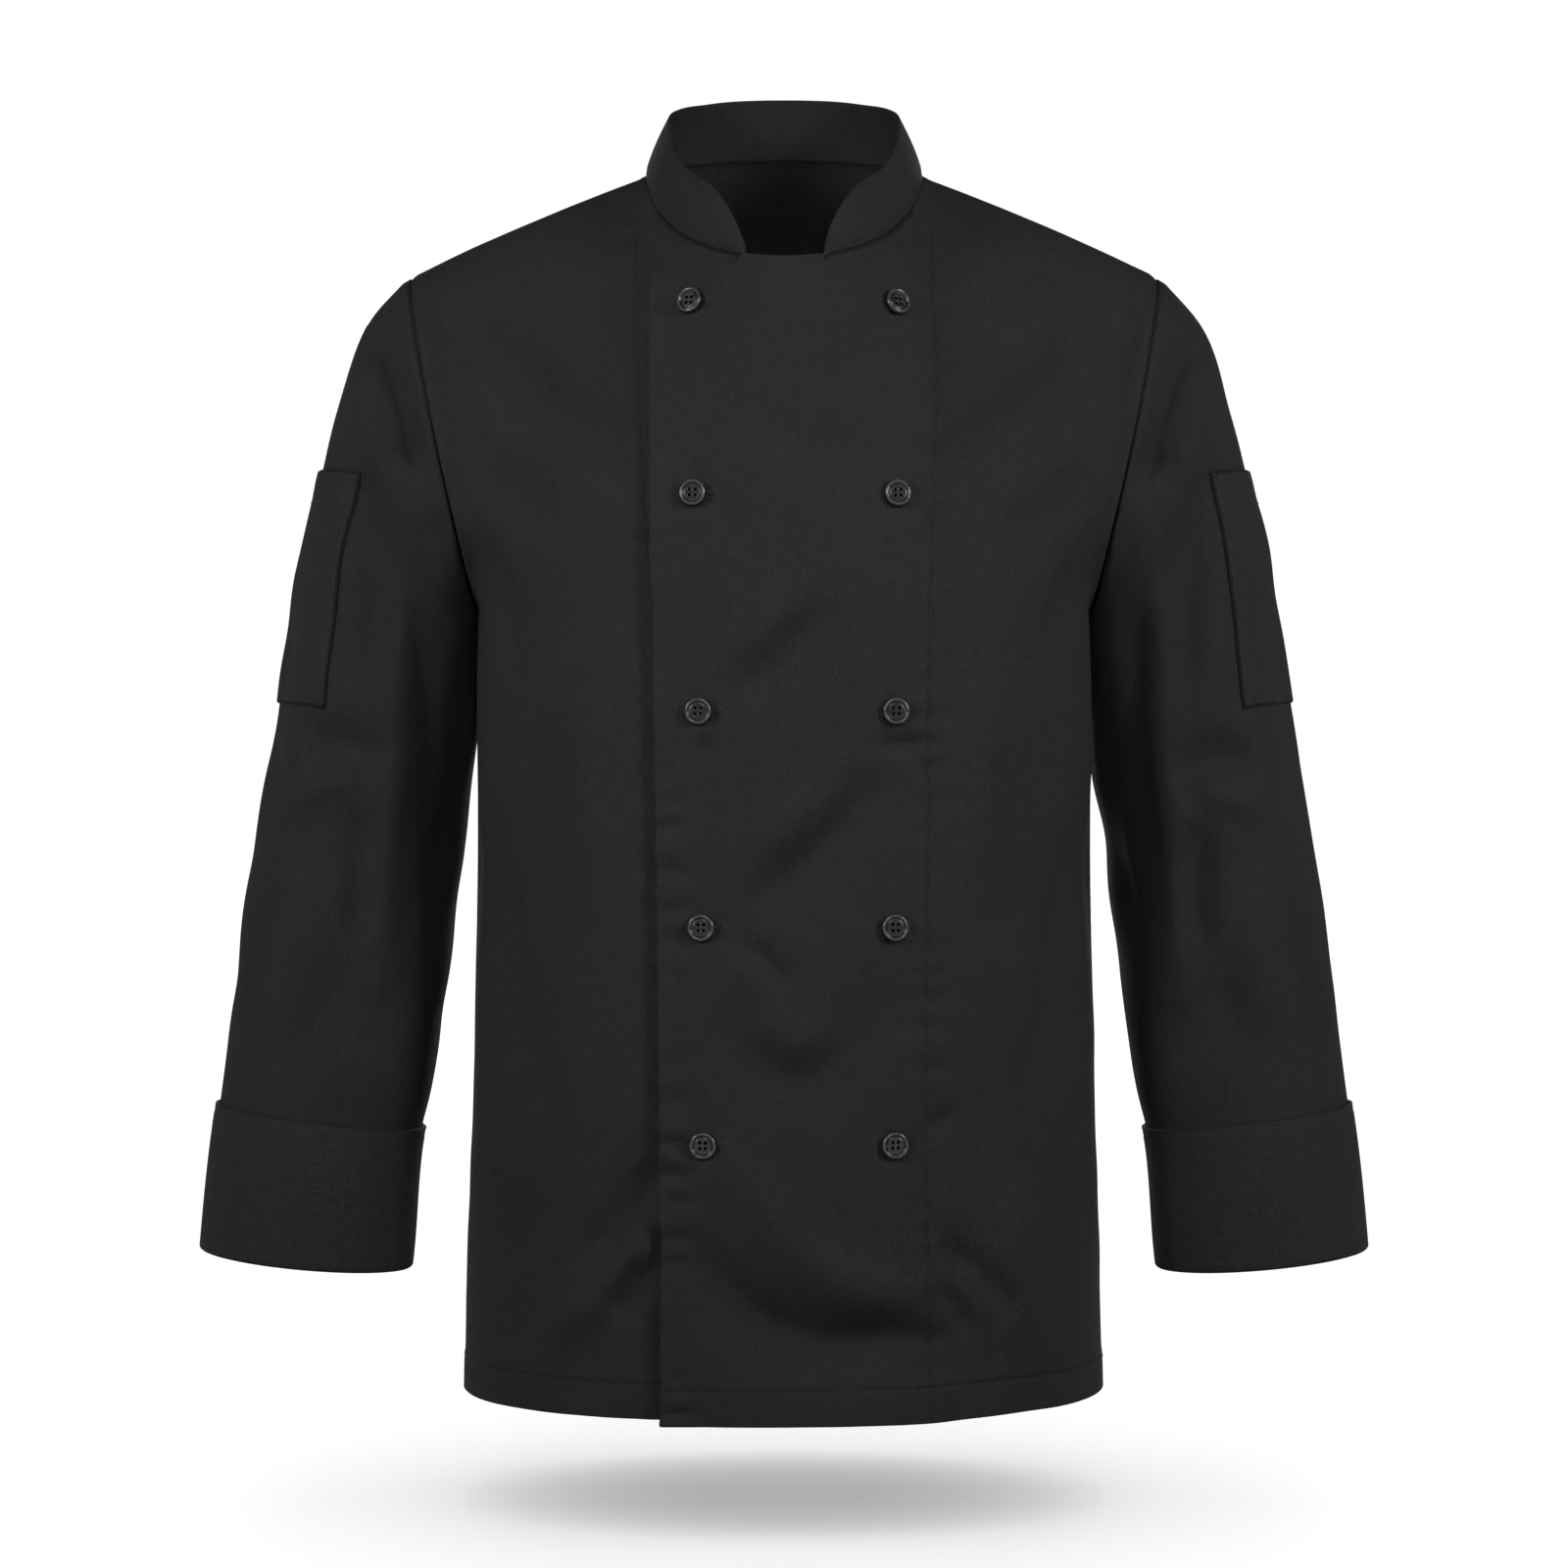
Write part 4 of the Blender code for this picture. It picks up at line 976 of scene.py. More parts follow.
def sleeve_relief(points, sign):
    """The creases of a sleeve, a little moved on each side so that the two aren't alike."""
    around = np.broadcast_to(SLEEVE_TURNS + CREASE_TURN * sign, points.shape[:2])
    z = points[..., 2] + CREASE_SHIFT * sign
    heights = SLEEVE_RELIEF * crease_heights(SLEEVE_CREASES, degrees(around), z)
    turn, radius = np.radians(around), SLEEVE_RIPPLE_RADIUS
    heights = heights + SLEEVE_RIPPLE * ripple(
        radius * np.cos(turn), z + radius * np.sin(turn), 21 + sign, SLEEVE_RIPPLE_LENGTH
    )
    rows = SLEEVE_ROWS[:, None]
    whole = ease(rows / SLEEVE_FADE) * ease((CUFF_RING - SLEEVE_FLAT - rows) / SLEEVE_FADE)
    return heights * whole


def make_sleeve(side, front, back):
    """A sleeve whose first ring is the armhole seam. SLEEVE_ROWS counts its rows in rings."""
    sign = SIDES[side]
    column = 0 if sign < 0 else -1
    upper = slice(CHEST_ROW, None)
    loop = np.concatenate([front.points[upper, column], back.points[upper, column][-2:0:-1]])
    rings = np.array([loop] + [ring_points(ring, sign) for ring in SLEEVE])
    rings[1:] = settle(rings[1:])
    steps = np.linalg.norm(np.diff(rings, axis=0), axis=2).mean(axis=1)
    knots = np.concatenate([[0], np.cumsum(steps)])
    points = along(knots, rings, np.interp(SLEEVE_ROWS, np.arange(len(knots)), knots))
    points = hang_against_body(points, sign)
    outwards = (1 - np.cos(np.radians(SLEEVE_TURNS))) / 2
    fullness = ELBOW_FULLNESS * bell(points[:, :1, 2] - ELBOW_Z, ELBOW_REACH)
    points[..., 0] += sign * fullness * outwards
    centres = np.repeat(points.mean(axis=1, keepdims=True), points.shape[1], axis=1)
    sleeve = Shell(points, centres, closed=True)
    sleeve.raise_by(sleeve_relief(points, sign))
    return sleeve


def row_of_ring(number):
    return index_of(SLEEVE_ROWS, number + 1)


POCKET_GAP = 0.0003
POCKET_PUFF, POCKET_FLATNESS = 0.0009, 0.7
POCKET_MOUTH, POCKET_MOUTH_DEPTH = 0.0010, 0.12  # its top edge stands off, down to this share


def make_pocket(sleeve):
    """A patch laid on the sleeve, its top and bottom square to the sleeve's outer line."""
    top, bottom = (row_of_ring(number) for number in POCKET_RINGS)
    first, last = (index_of(SLEEVE_TURNS, turn) for turn in POCKET_ANGLES)
    outer = sleeve.points[top : bottom + 1, index_of(SLEEVE_TURNS, 180)]
    axis = unit(outer[-1] - outer[0])
    points, normals = [], []
    for column in range(first, last + 1):
        line = sleeve.points[:, column]
        at = np.interp(outer @ axis, line @ axis, np.arange(len(line)))
        points.append(read_rows(line, at))
        normals.append(unit(read_rows(sleeve.normals[:, column], at)))
    points, normals = np.stack(points, axis=1), np.stack(normals, axis=1)
    away = np.broadcast_to(sleeve.away_from[top : bottom + 1, :1], points.shape)
    pocket = Shell(points + normals * (POCKET_GAP + POCKET_WALL), away)
    pocket.normals = normals
    down, over = np.meshgrid(*(np.linspace(0, 1, size) for size in points.shape[:2]), indexing="ij")
    puff = POCKET_PUFF * (np.sin(math.pi * down) * np.sin(math.pi * over)) ** POCKET_FLATNESS
    mouth = POCKET_MOUTH * np.sin(math.pi * over) * ease(1 - down / POCKET_MOUTH_DEPTH)
    pocket.points = pocket.points + normals * (puff + mouth)[..., None]
    pocket.seam = np.zeros(points.shape[:2], bool)
    return pocket


CUFF_BULGE = 0.0006
CUFF_DIP, CUFF_DIP_AT, CUFF_DIP_REACH = 0.0004, 0.035, 0.018  # at and reach: shares down it
CUFF_TOP = ((0.55, 0.42), (0.88, 0.28))  # the top edge's points: out and up, in thicknesses
CUFF_TOP_INNER = (0.16, 0.25)
CUFF_FOLD = (22, 45, 68, 90, 120, 150)  # degrees round the fold at the cuff's lower end
CUFF_FOLD_OUT = 0.0004  # the fold's centre lies this far off the sleeve
CUFF_INNER_DROP = 0.0003


def make_cuff(sleeve):
    """The turned-back cuff's closed profile, row by row round the sleeve's end."""
    first = row_of_ring(CUFF_RING)
    points, normals = sleeve.points[first:], sleeve.normals[first:]
    up, down = -unit(points[1] - points[0]), unit(points[-1] - points[-2])

    def top_edge(out, rise):
        return points[0] + normals[0] * (CUFF_GAP + CUFF_WALL * out) + up * CUFF_WALL * rise

    def lower_end(out):
        return points[-1] + normals[-1] * out + down * CUFF_INNER_DROP

    share = np.linspace(0, 1, len(points))[:, None, None]
    stand = CUFF_GAP + CUFF_WALL + CUFF_BULGE * np.sin(math.pi * share)
    stand = stand - CUFF_DIP * bell(share - CUFF_DIP_AT, CUFF_DIP_REACH)
    profile = [top_edge(out, rise) for out, rise in CUFF_TOP]
    profile += list(points + normals * stand)
    middle = points[-1] + normals[-1] * CUFF_FOLD_OUT
    reach = CUFF_GAP + CUFF_WALL - CUFF_FOLD_OUT
    for turn in np.radians(CUFF_FOLD):
        out, drop = normals[-1] * reach * math.cos(turn), down * reach * math.sin(turn)
        profile.append(middle + out + drop)
    profile += [lower_end(-WALL), lower_end(CUFF_GAP * 0.5)]
    profile += list((points[:-1] + normals[:-1] * CUFF_GAP)[::-1])
    profile.append(top_edge(*CUFF_TOP_INNER))
    return np.array(profile)


def add_tube(name, profile, material):
    """A mesh closed both round its profile and round its rings."""
    count, around = profile.shape[:2]
    row, column = (index.reshape(-1) for index in np.indices((count, around)))
    way = way_over(wrapped(np.concatenate([profile, profile[:1]]), True))
    faces, uvs = cell_corners(row, column, count, around), cell_ways(way, row, column)
    outer = len(CUFF_TOP) + 1
    corner, ring = profile[outer, 0], profile[outer]
    normal = np.cross(ring[1] - corner, profile[outer + 1, 0] - corner)
    if np.dot(normal, corner - ring.mean(axis=0)) < 0:
        faces, uvs = faces[:, ::-1], uvs[:, ::-1]
    far = np.ones(count * around)
    down = way[..., 1]
    edge = np.minimum(down[:-1, :-1], np.abs(down[-1:, :-1] - down[:-1, :-1])).reshape(-1)
    marks = [("hem_line", far), ("facing_line", far), ("seam_line", edge)]
    return add_mesh(name, profile.reshape(-1, 3), faces, uvs, material, marks)


# ---- materials ----


class Nodes:
    """A node tree and short ways to add to it."""

    def __init__(self, tree):
        self.tree = tree

    def feed(self, socket, value):
        if isinstance(value, bpy.types.NodeSocket):
            self.tree.links.new(value, socket)
        else:
            socket.default_value = value

    def add(self, kind, inputs=(), **settings):
        """A node with those settings. inputs are numbers, colours or sockets by place or name."""
        node = self.tree.nodes.new(kind)
        for name, value in settings.items():
            setattr(node, name, value)
        for place, value in dict(inputs).items():
            self.feed(node.inputs[place], value)
        return node

    def math(self, operation, *inputs):
        return self.add("ShaderNodeMath", enumerate(inputs), operation=operation).outputs[0]

    def weighted(self, *parts):
        """The sum of (value, weight) pairs."""
        total = 0.0
        for value, weight in parts:
            total = self.math("MULTIPLY_ADD", value, weight, total)
        return total

    def noise(self, place, scale, detail=2.0, roughness=0.5):
        inputs = {"Vector": place, "Scale": scale, "Detail": detail, "Roughness": roughness}
        return self.add("ShaderNodeTexNoise", inputs).outputs["Fac"]

    def wave(self, place, direction, **inputs):
        inputs["Vector"] = place
        return self.add("ShaderNodeTexWave", inputs, bands_direction=direction).outputs["Fac"]

    def ramp(self, share, stops):
        """The colour at a share, from (position, colour) stops."""
        node = self.add("ShaderNodeValToRGB", {"Fac": share})
        elements = node.color_ramp.elements
        while len(elements) < len(stops):
            elements.new(0.5)
        for element, (position, colour) in zip(elements, stops):
            element.position = position
            element.color = (*colour, 1.0)
        return node.outputs["Color"]

    def bump(self, height):
        return self.add("ShaderNodeBump", {"Height": height, "Distance": 1.0}).outputs["Normal"]

    def object_place(self):
        return self.add("ShaderNodeTexCoord").outputs["Object"]

    def seen(self):
        """1 where the camera looks and 0 for all other light."""
        return self.add("ShaderNodeLightPath").outputs["Is Camera Ray"]


def new_material(name):
    """A material, its nodes, and a way to feed its shader's inputs by their names."""
    material = bpy.data.materials.new(name)
    material.use_nodes = True
    nodes = Nodes(material.node_tree)
    shader = material.node_tree.nodes["Principled BSDF"]

    def shade(inputs):
        for place, value in inputs.items():
            nodes.feed(shader.inputs[place], value)

    return material, nodes, shade


def grey(tone):
    return (tone, tone, tone)


TWILL_SCALE = 480.0  # ribs about 0.9 mm apart along the diagonal
YARN_SCALE = 620.0
CLOUD_SCALE, LINT_SCALE, SLUB_SCALE = 22.0, 1100.0, 260.0
STREAK_SCALES = ((1500.0, 90.0, 1.0), (90.0, 1500.0, 1.0))
TWILL_RISE, YARN_RISE, SLUB_RISE, LINT_RISE = 0.00010, 0.00004, 0.00010, 0.00003
GROOVE_WIDTH, GROOVE_DEPTH = 0.0011, 0.00035
# painted shade along the grooves: how much darker the cloth is painted at each line
GROOVE_PAINTED_SHADE = {"hem_line": -0.12, "facing_line": -0.10, "seam_line": -0.22}
CLOTH_DARK, DARK_AT = (0.0100, 0.0100, 0.0103), 0.32
CLOTH_LIGHT, LIGHT_AT = (0.0320, 0.0320, 0.0330), 0.68


def cloth_material():
    """A plain black twill: diagonal ribs, crossing yarns, lint, and a groove at each seam line with
    painted shade along it.
    """
    material, nodes, shade = new_material("black_twill")
    weave = nodes.add("ShaderNodeUVMap", uv_map="weave").outputs["UV"]
    place = nodes.object_place()
    twill = nodes.wave(weave, "DIAGONAL", Scale=TWILL_SCALE, Distortion=0.6, Detail=1.0)
    yarn = nodes.wave(weave, "X", Scale=YARN_SCALE, Distortion=0.4)
    cloud = nodes.noise(place, CLOUD_SCALE, 3.0)
    lint = nodes.noise(place, LINT_SCALE, 2.0, 0.6)
    slub = nodes.noise(place, SLUB_SCALE)
    streaks = []
    for scale in STREAK_SCALES:
        stretched = nodes.add("ShaderNodeVectorMath", {0: weave, 1: scale}, operation="MULTIPLY")
        streaks.append(nodes.noise(stretched.outputs[0], 1.0))
    grooves = []
    for mark in GROOVE_PAINTED_SHADE:
        away = nodes.add("ShaderNodeAttribute", attribute_name=mark).outputs["Fac"]
        share = nodes.math("DIVIDE", away, GROOVE_WIDTH)
        square = nodes.math("MULTIPLY", share, share)
        grooves.append(nodes.math("EXPONENT", nodes.math("MULTIPLY", square, -1.0)))
    height = nodes.weighted(
        (twill, TWILL_RISE), (yarn, YARN_RISE), (slub, SLUB_RISE), (lint, LINT_RISE),
        *[(groove, -GROOVE_DEPTH) for groove in grooves],
    )
    # the weave's random tone, with painted shade along the seam, hem and facing grooves
    tone = nodes.weighted(
        (twill, 0.10), (cloud, 0.10), (lint, 0.20), (streaks[0], 0.30), (streaks[1], 0.30),
        *zip(grooves, GROOVE_PAINTED_SHADE.values()),
    )
    shade({
        "Normal": nodes.bump(height),
        "Base Color": nodes.ramp(tone, ((DARK_AT, CLOTH_DARK), (LIGHT_AT, CLOTH_LIGHT))),
        "Roughness": nodes.math("MULTIPLY_ADD", cloud, 0.10, 0.80),
        "Specular IOR Level": 0.14,
        "Sheen Weight": 0.01,
        "Sheen Roughness": 0.45,
        "Sheen Tint": (1.0, 1.0, 1.0, 1.0),
    })
    return material


BUTTON_FLOOR, BUTTON_CROWN = 0.0014, 0.0030
# painted shade low in the holes and in the groove inside the rim, and a painted highlight at the
# rim's crown
BUTTON_SHADE_AND_HIGHLIGHT = (  # share of the way from the floor up to the rim's crown, tone
    (0.0, 0.003), (0.19, 0.006), (0.37, 0.016), (0.50, 0.021), (0.72, 0.034), (1.0, 0.058),
)
BUTTON_CLOUD_SCALE, BUTTON_GRAIN_SCALE, BUTTON_GRAIN_RISE = 240.0, 2600.0, 0.00001
BUTTON_ROUGHNESS, CROWN_GLOSS, CLOUD_ROUGHNESS, LEAST_ROUGHNESS = 0.28, 0.20, 0.10, 0.10


def button_material():
    """Glossy black resin, smoother towards the crown of its rim, with a painted highlight on the
    rim and painted shade in its holes and in the groove inside the rim.
    """
    material, nodes, shade = new_material("button_resin")
    place = nodes.object_place()
    z = nodes.add("ShaderNodeSeparateXYZ", {0: place}).outputs["Z"]
    rise = BUTTON_CROWN - BUTTON_FLOOR
    height = nodes.math("MULTIPLY_ADD", z, 1 / rise, -BUTTON_FLOOR / rise)
    cloud = nodes.noise(place, BUTTON_CLOUD_SCALE, 3.0)
    grain = nodes.noise(place, BUTTON_GRAIN_SCALE)
    mottled = nodes.math("MULTIPLY_ADD", cloud, 0.16, -0.08)
    roughness = nodes.math("MULTIPLY_ADD", height, -CROWN_GLOSS, BUTTON_ROUGHNESS)
    roughness = nodes.math("MULTIPLY_ADD", cloud, CLOUD_ROUGHNESS, roughness)
    stops = [(share, (tone, tone, tone * 1.03)) for share, tone in BUTTON_SHADE_AND_HIGHLIGHT]
    shade({
        # colour by height: painted shade in the holes and groove, a painted highlight at the crown,
        # mottled at random
        "Base Color": nodes.ramp(nodes.math("ADD", height, mottled), stops),
        "Roughness": nodes.math("MAXIMUM", roughness, LEAST_ROUGHNESS),
        "Normal": nodes.bump(nodes.math("MULTIPLY", grain, BUTTON_GRAIN_RISE)),
    })
    return material


PLY_SCALE = 3000.0
THREAD_DARK, THREAD_LIGHT = (0.009, 0.009, 0.0093), (0.030, 0.030, 0.031)


def thread_material():
    """Black sewing thread, a little lighter than the cloth and slightly glossy, with its ply."""
    material, nodes, shade = new_material("sewing_thread")
    ply = nodes.noise(nodes.object_place(), PLY_SCALE, 1.0)
    shade({
        "Base Color": nodes.ramp(ply, ((0.0, THREAD_DARK), (1.0, THREAD_LIGHT))),
        "Roughness": nodes.math("MULTIPLY_ADD", ply, 0.2, 0.60),
    })
    return material


FLOOR_TONE, FLOOR_GLOW = 0.80, 0.40


def floor_material():
    """A pale floor that shows as white in the picture and still takes the soft shadow."""
    material, nodes, shade = new_material("pale_floor")
    cloud = nodes.noise(nodes.object_place(), 0.7)
    shade({
        "Base Color": nodes.ramp(cloud, ((0.0, grey(FLOOR_TONE * 0.99)), (1.0, grey(FLOOR_TONE)))),
        "Roughness": 1.0,
        "Specular IOR Level": 0.0,
        "Emission Color": (1.0, 1.0, 1.0, 1.0),
        "Emission Strength": nodes.math("MULTIPLY", nodes.seen(), FLOOR_GLOW),
    })
    return material


# ---- buttons ----

BUTTON_SIDES = 56
BUTTON_PROFILE = (  # radius, height: from the back's edge over the rounded rim to the face
    (0.0072, 0.0000), (0.0077, 0.0002), (0.0080, 0.0008), (0.0080, 0.0014), (0.0078, 0.0021),
    (0.0074, 0.0027), (0.0069, 0.0030), (0.0065, 0.0030), (0.0061, 0.0028), (0.0058, 0.0023),
    (0.0056, 0.0018), (0.0053, 0.0017), (0.0050, 0.0019), (0.0046, 0.0021), (0.0044, 0.0021),
)
HOLE_PROFILE = (  # radius, height: up the hole and over its rounded edge
    (0.00098, 0.0000), (0.00098, 0.0017), (0.00106, 0.0020), (0.00120, 0.0021), (0.00132, 0.0021),
)
HOLE_AT = 0.00165
HOLE_SIDES = 16


def button_mesh():
    """A four-hole button lying on z = 0, with a rounded rim and round-edged holes."""
    solid = bmesh.new()

    def ring(radius, height, sides, centre=(0.0, 0.0)):
        points = []
        for angle in 2 * math.pi * np.arange(sides) / sides:
            x, y = centre[0] + radius * math.cos(angle), centre[1] + radius * math.sin(angle)
            points.append(solid.verts.new((x, y, height)))
        return points

    def bridge(lower, upper):
        for step in range(len(lower)):
            after = (step + 1) % len(lower)
            solid.faces.new((lower[step], lower[after], upper[after], upper[step]))

    def fill(loops):
        edges = []
        for loop in loops:
            for step, vertex in enumerate(loop):
                after = loop[(step + 1) % len(loop)]
                edges.append(solid.edges.get((vertex, after)) or solid.edges.new((vertex, after)))
        bmesh.ops.triangle_fill(solid, use_beauty=True, use_dissolve=False, edges=edges)

    outer = [ring(radius, height, BUTTON_SIDES) for radius, height in BUTTON_PROFILE]
    for lower, upper in zip(outer, outer[1:]):
        bridge(lower, upper)
    bottoms, tops = [outer[0]], [outer[-1]]
    for centre in itertools.product((-HOLE_AT, HOLE_AT), repeat=2):
        loops = [ring(radius, height, HOLE_SIDES, centre) for radius, height in HOLE_PROFILE]
        for lower, upper in zip(loops, loops[1:]):
            bridge(lower, upper)
        bottoms.append(loops[0])
        tops.append(loops[-1])
    fill(bottoms)
    fill(tops)
    bmesh.ops.recalc_face_normals(solid, faces=solid.faces)
    mesh = bpy.data.meshes.new("button")
    solid.to_mesh(mesh)
    solid.free()
    mesh.shade_smooth()
    mesh.set_sharp_from_angle(angle=math.radians(50))
    return mesh


def button_frame(node):
    """A button node's back centre and its outward direction, from the disc's own points."""
    points = np.array([vertex.co for vertex in node.data.vertices])
    centre = (points.min(axis=0) + points.max(axis=0)) / 2
    _, _, axes = np.linalg.svd(points - points.mean(axis=0))
    normal = axes[-1] if axes[-1][1] < 0 else -axes[-1]
    depth = (points - centre) @ normal
    return centre + normal * depth.min(), normal


def add_buttons():
    mesh = button_mesh()
    mesh.materials.append(button_material())
    for side in SIDES:
        for number in range(1, 6):
            node = f"button_{side}_{number}"
            point, normal = button_frame(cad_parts[node])
            made = add_object(f"resin_{node}", mesh)
            made.location = Vector(point)
            made.rotation_euler = Vector(normal).to_track_quat("Z", "Y").to_euler()
            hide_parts(node)
            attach(made, "root")


# ---- stitches ----

STITCH_LENGTH = 0.0023
STITCH_PITCH = 0.0032
STITCH_RADIUS = 0.00024
STITCH_RINGS = ((-0.5, 0.35, -0.9), (-0.32, 0.9, 0.1), (0.0, 1.0, 0.45), (0.32, 0.9, 0.1),
                (0.5, 0.35, -0.9))  # along in lengths, radius and lift in radii
STITCH_SIDES = 5
STITCH_TURN = 0.035  # how unevenly the stitches lie, in radians
STITCH_SIZES = (0.92, 1.06)
# A buttonhole runs outwards from just inside its button. Its stitches lie across its edges.
BUTTONHOLE_IN, BUTTONHOLE_REACH, BUTTONHOLE_RISE = 0.0020, 0.0140, 0.0010
BUTTONHOLE_HALF, BUTTONHOLE_END_HALF = 0.0007, 0.0014
BUTTONHOLE_PITCH = 0.00042
BUTTONHOLE_SIDE_STITCH, BUTTONHOLE_END_STITCH = 0.0010, 0.0012


def resample(points, normals, pitch):
    """Places, normals and directions at even steps along a line of points."""
    travelled = run_lengths(points)
    at = np.arange(pitch / 2, travelled[-1], pitch)

    def read(values):
        return np.stack([np.interp(at, travelled, column) for column in values.T], axis=1)

    return read(points), unit(read(normals)), unit(read(np.gradient(points, travelled, axis=0)))


def stitch_line(points, normals, seed, pitch=STITCH_PITCH, length=STITCH_LENGTH, across_line=False):
    """The points and faces of a row of stitches along a line on the cloth."""
    centre, up, forward = resample(points, normals, pitch)
    across = unit(np.cross(up, forward))
    if across_line:
        forward, across = across, forward
    random = np.random.default_rng(seed)
    turn = random.normal(0, STITCH_TURN, len(centre))[:, None]
    forward = unit(forward + across * turn)
    size = random.uniform(*STITCH_SIZES, len(centre))[:, None]
    rings = []
    for place, radius, lift in STITCH_RINGS:
        middle = centre + forward * length * place * size + up * STITCH_RADIUS * lift
        for side in range(STITCH_SIDES):
            angle = 2 * math.pi * side / STITCH_SIDES
            rings.append(middle + STITCH_RADIUS * radius * (
                across * math.cos(angle) + up * math.sin(angle)
            ))
    vertices = np.stack(rings, axis=1).reshape(-1, 3)
    per_stitch = len(STITCH_RINGS) * STITCH_SIDES
    faces = []
    for ring in range(len(STITCH_RINGS) - 1):
        for side in range(STITCH_SIDES):
            a, b = ring * STITCH_SIDES + side, ring * STITCH_SIDES + (side + 1) % STITCH_SIDES
            faces.append([a, b, b + STITCH_SIDES, a + STITCH_SIDES])
    last = per_stitch - STITCH_SIDES
    caps = [list(range(STITCH_SIDES))[::-1], [last + side for side in range(STITCH_SIDES)]]
    every = []
    for start in range(0, len(centre) * per_stitch, per_stitch):
        every += [[start + corner for corner in face] for face in faces + caps]
    return vertices, every


def add_stitches(name, lines, material):
    """One object for all the stitches on a piece. Each line is (points, normals[, settings])."""
    vertices, faces = [], []
    count = 0
    for number, (points, normals, *settings) in enumerate(lines):
        new, new_faces = stitch_line(points, normals, number + len(name), *settings)
        vertices.append(new)
        faces += [[corner + count for corner in face] for face in new_faces]
        count += len(new)
    mesh = bpy.data.meshes.new(name)
    mesh.from_pydata(np.concatenate(vertices).tolist(), [], faces)
    mesh.shade_smooth()
    mesh.materials.append(material)
    made = add_object(name, mesh)
    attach(made, "root")
    return made


def level_line(shell, z):
    """The line where a panel's cloth crosses a level, below the chest."""
    heights = shell.points[:CHEST_ROW, :, 2]
    points, normals = [], []
    for column in range(shell.points.shape[1]):
        at = np.interp(z, heights[:, column], np.arange(CHEST_ROW))
        points.append(read_rows(shell.points[:, column], at))
        normals.append(shell.normals[int(at), column])
    return np.array(points), np.array(normals)


def cloth_tree(shell):
    """A search tree of a shell's outer side."""
    row, column = np.nonzero(shell.keep)
    faces = cell_corners(row, column, *shell.points.shape[:2])
    return BVHTree.FromPolygons(shell.points.reshape(-1, 3).tolist(), faces.tolist())


def seen_line(tree, path, steps=40):
    """A path of (x, z) points laid on the cloth as seen from the front."""
    points, normals = [], []
    for x, z in sample_path(path, steps):
        place, normal, _, _ = tree.ray_cast(Vector((x, -1, z)), Vector((0, 1, 0)))
        if place is None:
            continue
        points.append(place)
        normals.append(normal if normal.y < 0 else -normal)
    return np.array(points), np.array(normals)


def buttonhole_lines(tree, x, z):
    """The two stitched sides and the outer end of a buttonhole beside the button at x, z."""
    lines = []
    end_x, end_z = x + BUTTONHOLE_REACH, z + BUTTONHOLE_RISE
    for side in (-BUTTONHOLE_HALF, BUTTONHOLE_HALF):
        path = ((x - BUTTONHOLE_IN, z + side), (end_x, z + side + BUTTONHOLE_RISE))
        lines.append((*seen_line(tree, path, 8), BUTTONHOLE_PITCH, BUTTONHOLE_SIDE_STITCH, True))
    path = ((end_x, end_z - BUTTONHOLE_END_HALF), (end_x, end_z + BUTTONHOLE_END_HALF))
    lines.append((*seen_line(tree, path, 4), BUTTONHOLE_PITCH, BUTTONHOLE_END_STITCH, True))
    return lines


def cuff_line(profile):
    """A line round the cuff, just below its top edge."""
    outer = profile[len(CUFF_TOP):]
    row = index_of(run_lengths(outer[:, 0]), CUFF_STITCH_IN)
    points, down = (
        wrapped(line[None], True)[0] for line in (outer[row], outer[row + 1] - outer[row])
    )
    normals = unit(np.cross(np.gradient(points, axis=0), down))
    outwards = points - points[:-1].mean(axis=0)
    return points, normals * np.sign(np.sum(normals * outwards, axis=1, keepdims=True))


def inset_line(shell, inset, edge):
    """A line on a shell at that distance in from one edge: first or last row or column."""
    points, normals = shell.points, shell.normals
    if edge in ("first_column", "last_column"):
        points, normals = points.swapaxes(0, 1), normals.swapaxes(0, 1)
    if edge in ("last_row", "last_column"):
        points, normals = points[::-1], normals[::-1]
    rows = np.arange(len(points))
    at = [np.interp(inset, away, rows) for away in run_lengths(points).T]
    return tuple(
        np.array([read_rows(values[:, column], place) for column, place in enumerate(at)])
        for values in (points, normals)
    )


# ---- the whole jacket ----

HEM_STITCH_UP = 0.0200
HEM_STEP = 0.0005  # a turned-up hem stands out this much, to just above its stitches
HEM_STEP_SPAN = (HEM_STITCH_UP + 0.0015, -0.003)
DIP_CORNER = 0.008  # a seam's dip fades out this near to the collar's ends
COLLAR_STITCH_IN = 0.0022
POCKET_HEM = 0.0190
POCKET_STITCH_IN = 0.0018
CUFF_STITCH_IN = 0.0026
HEMMED = ("right_front", "left_front", "back")
FACINGS = {"right_front": FACING_RIGHT, "left_front": FACING_LEFT}


def marks_of(shell, seam, hem=False, facing=None):
    """How far each point is from the hem's stitches, the facing's stitches and the seams."""
    x, z = shell.points[..., 0], shell.points[..., 2]
    far = np.ones_like(x)
    return [
        ("hem_line", z - shell.points[0, :, 2] - HEM_STITCH_UP if hem else far),
        ("facing_line", path_distance(facing, x, z) if facing else far),
        ("seam_line", np.minimum(seam, 1.0)),
    ]


# A piece's cut: width and length in metres, the area of its outline, how it is held and by what.
Cut = namedtuple("Cut", "flat area held rests_on")


def dip_seams(shell, distance, corners, hem):
    """Sinks the cloth a little along its seams, and thickens it where a hem is folded up."""
    heights = -SEAM_DIP * bell(distance, SEAM_REACH)
    for corner in corners:
        heights = heights * ease(np.linalg.norm(shell.points - corner, axis=2) / DIP_CORNER)
    if hem:
        up = shell.points[..., 2] - shell.points[0, :, 2]
        heights = heights + HEM_STEP * ease_over(up, HEM_STEP_SPAN)
    shell.points = shell.points + shell.normals * heights[..., None]


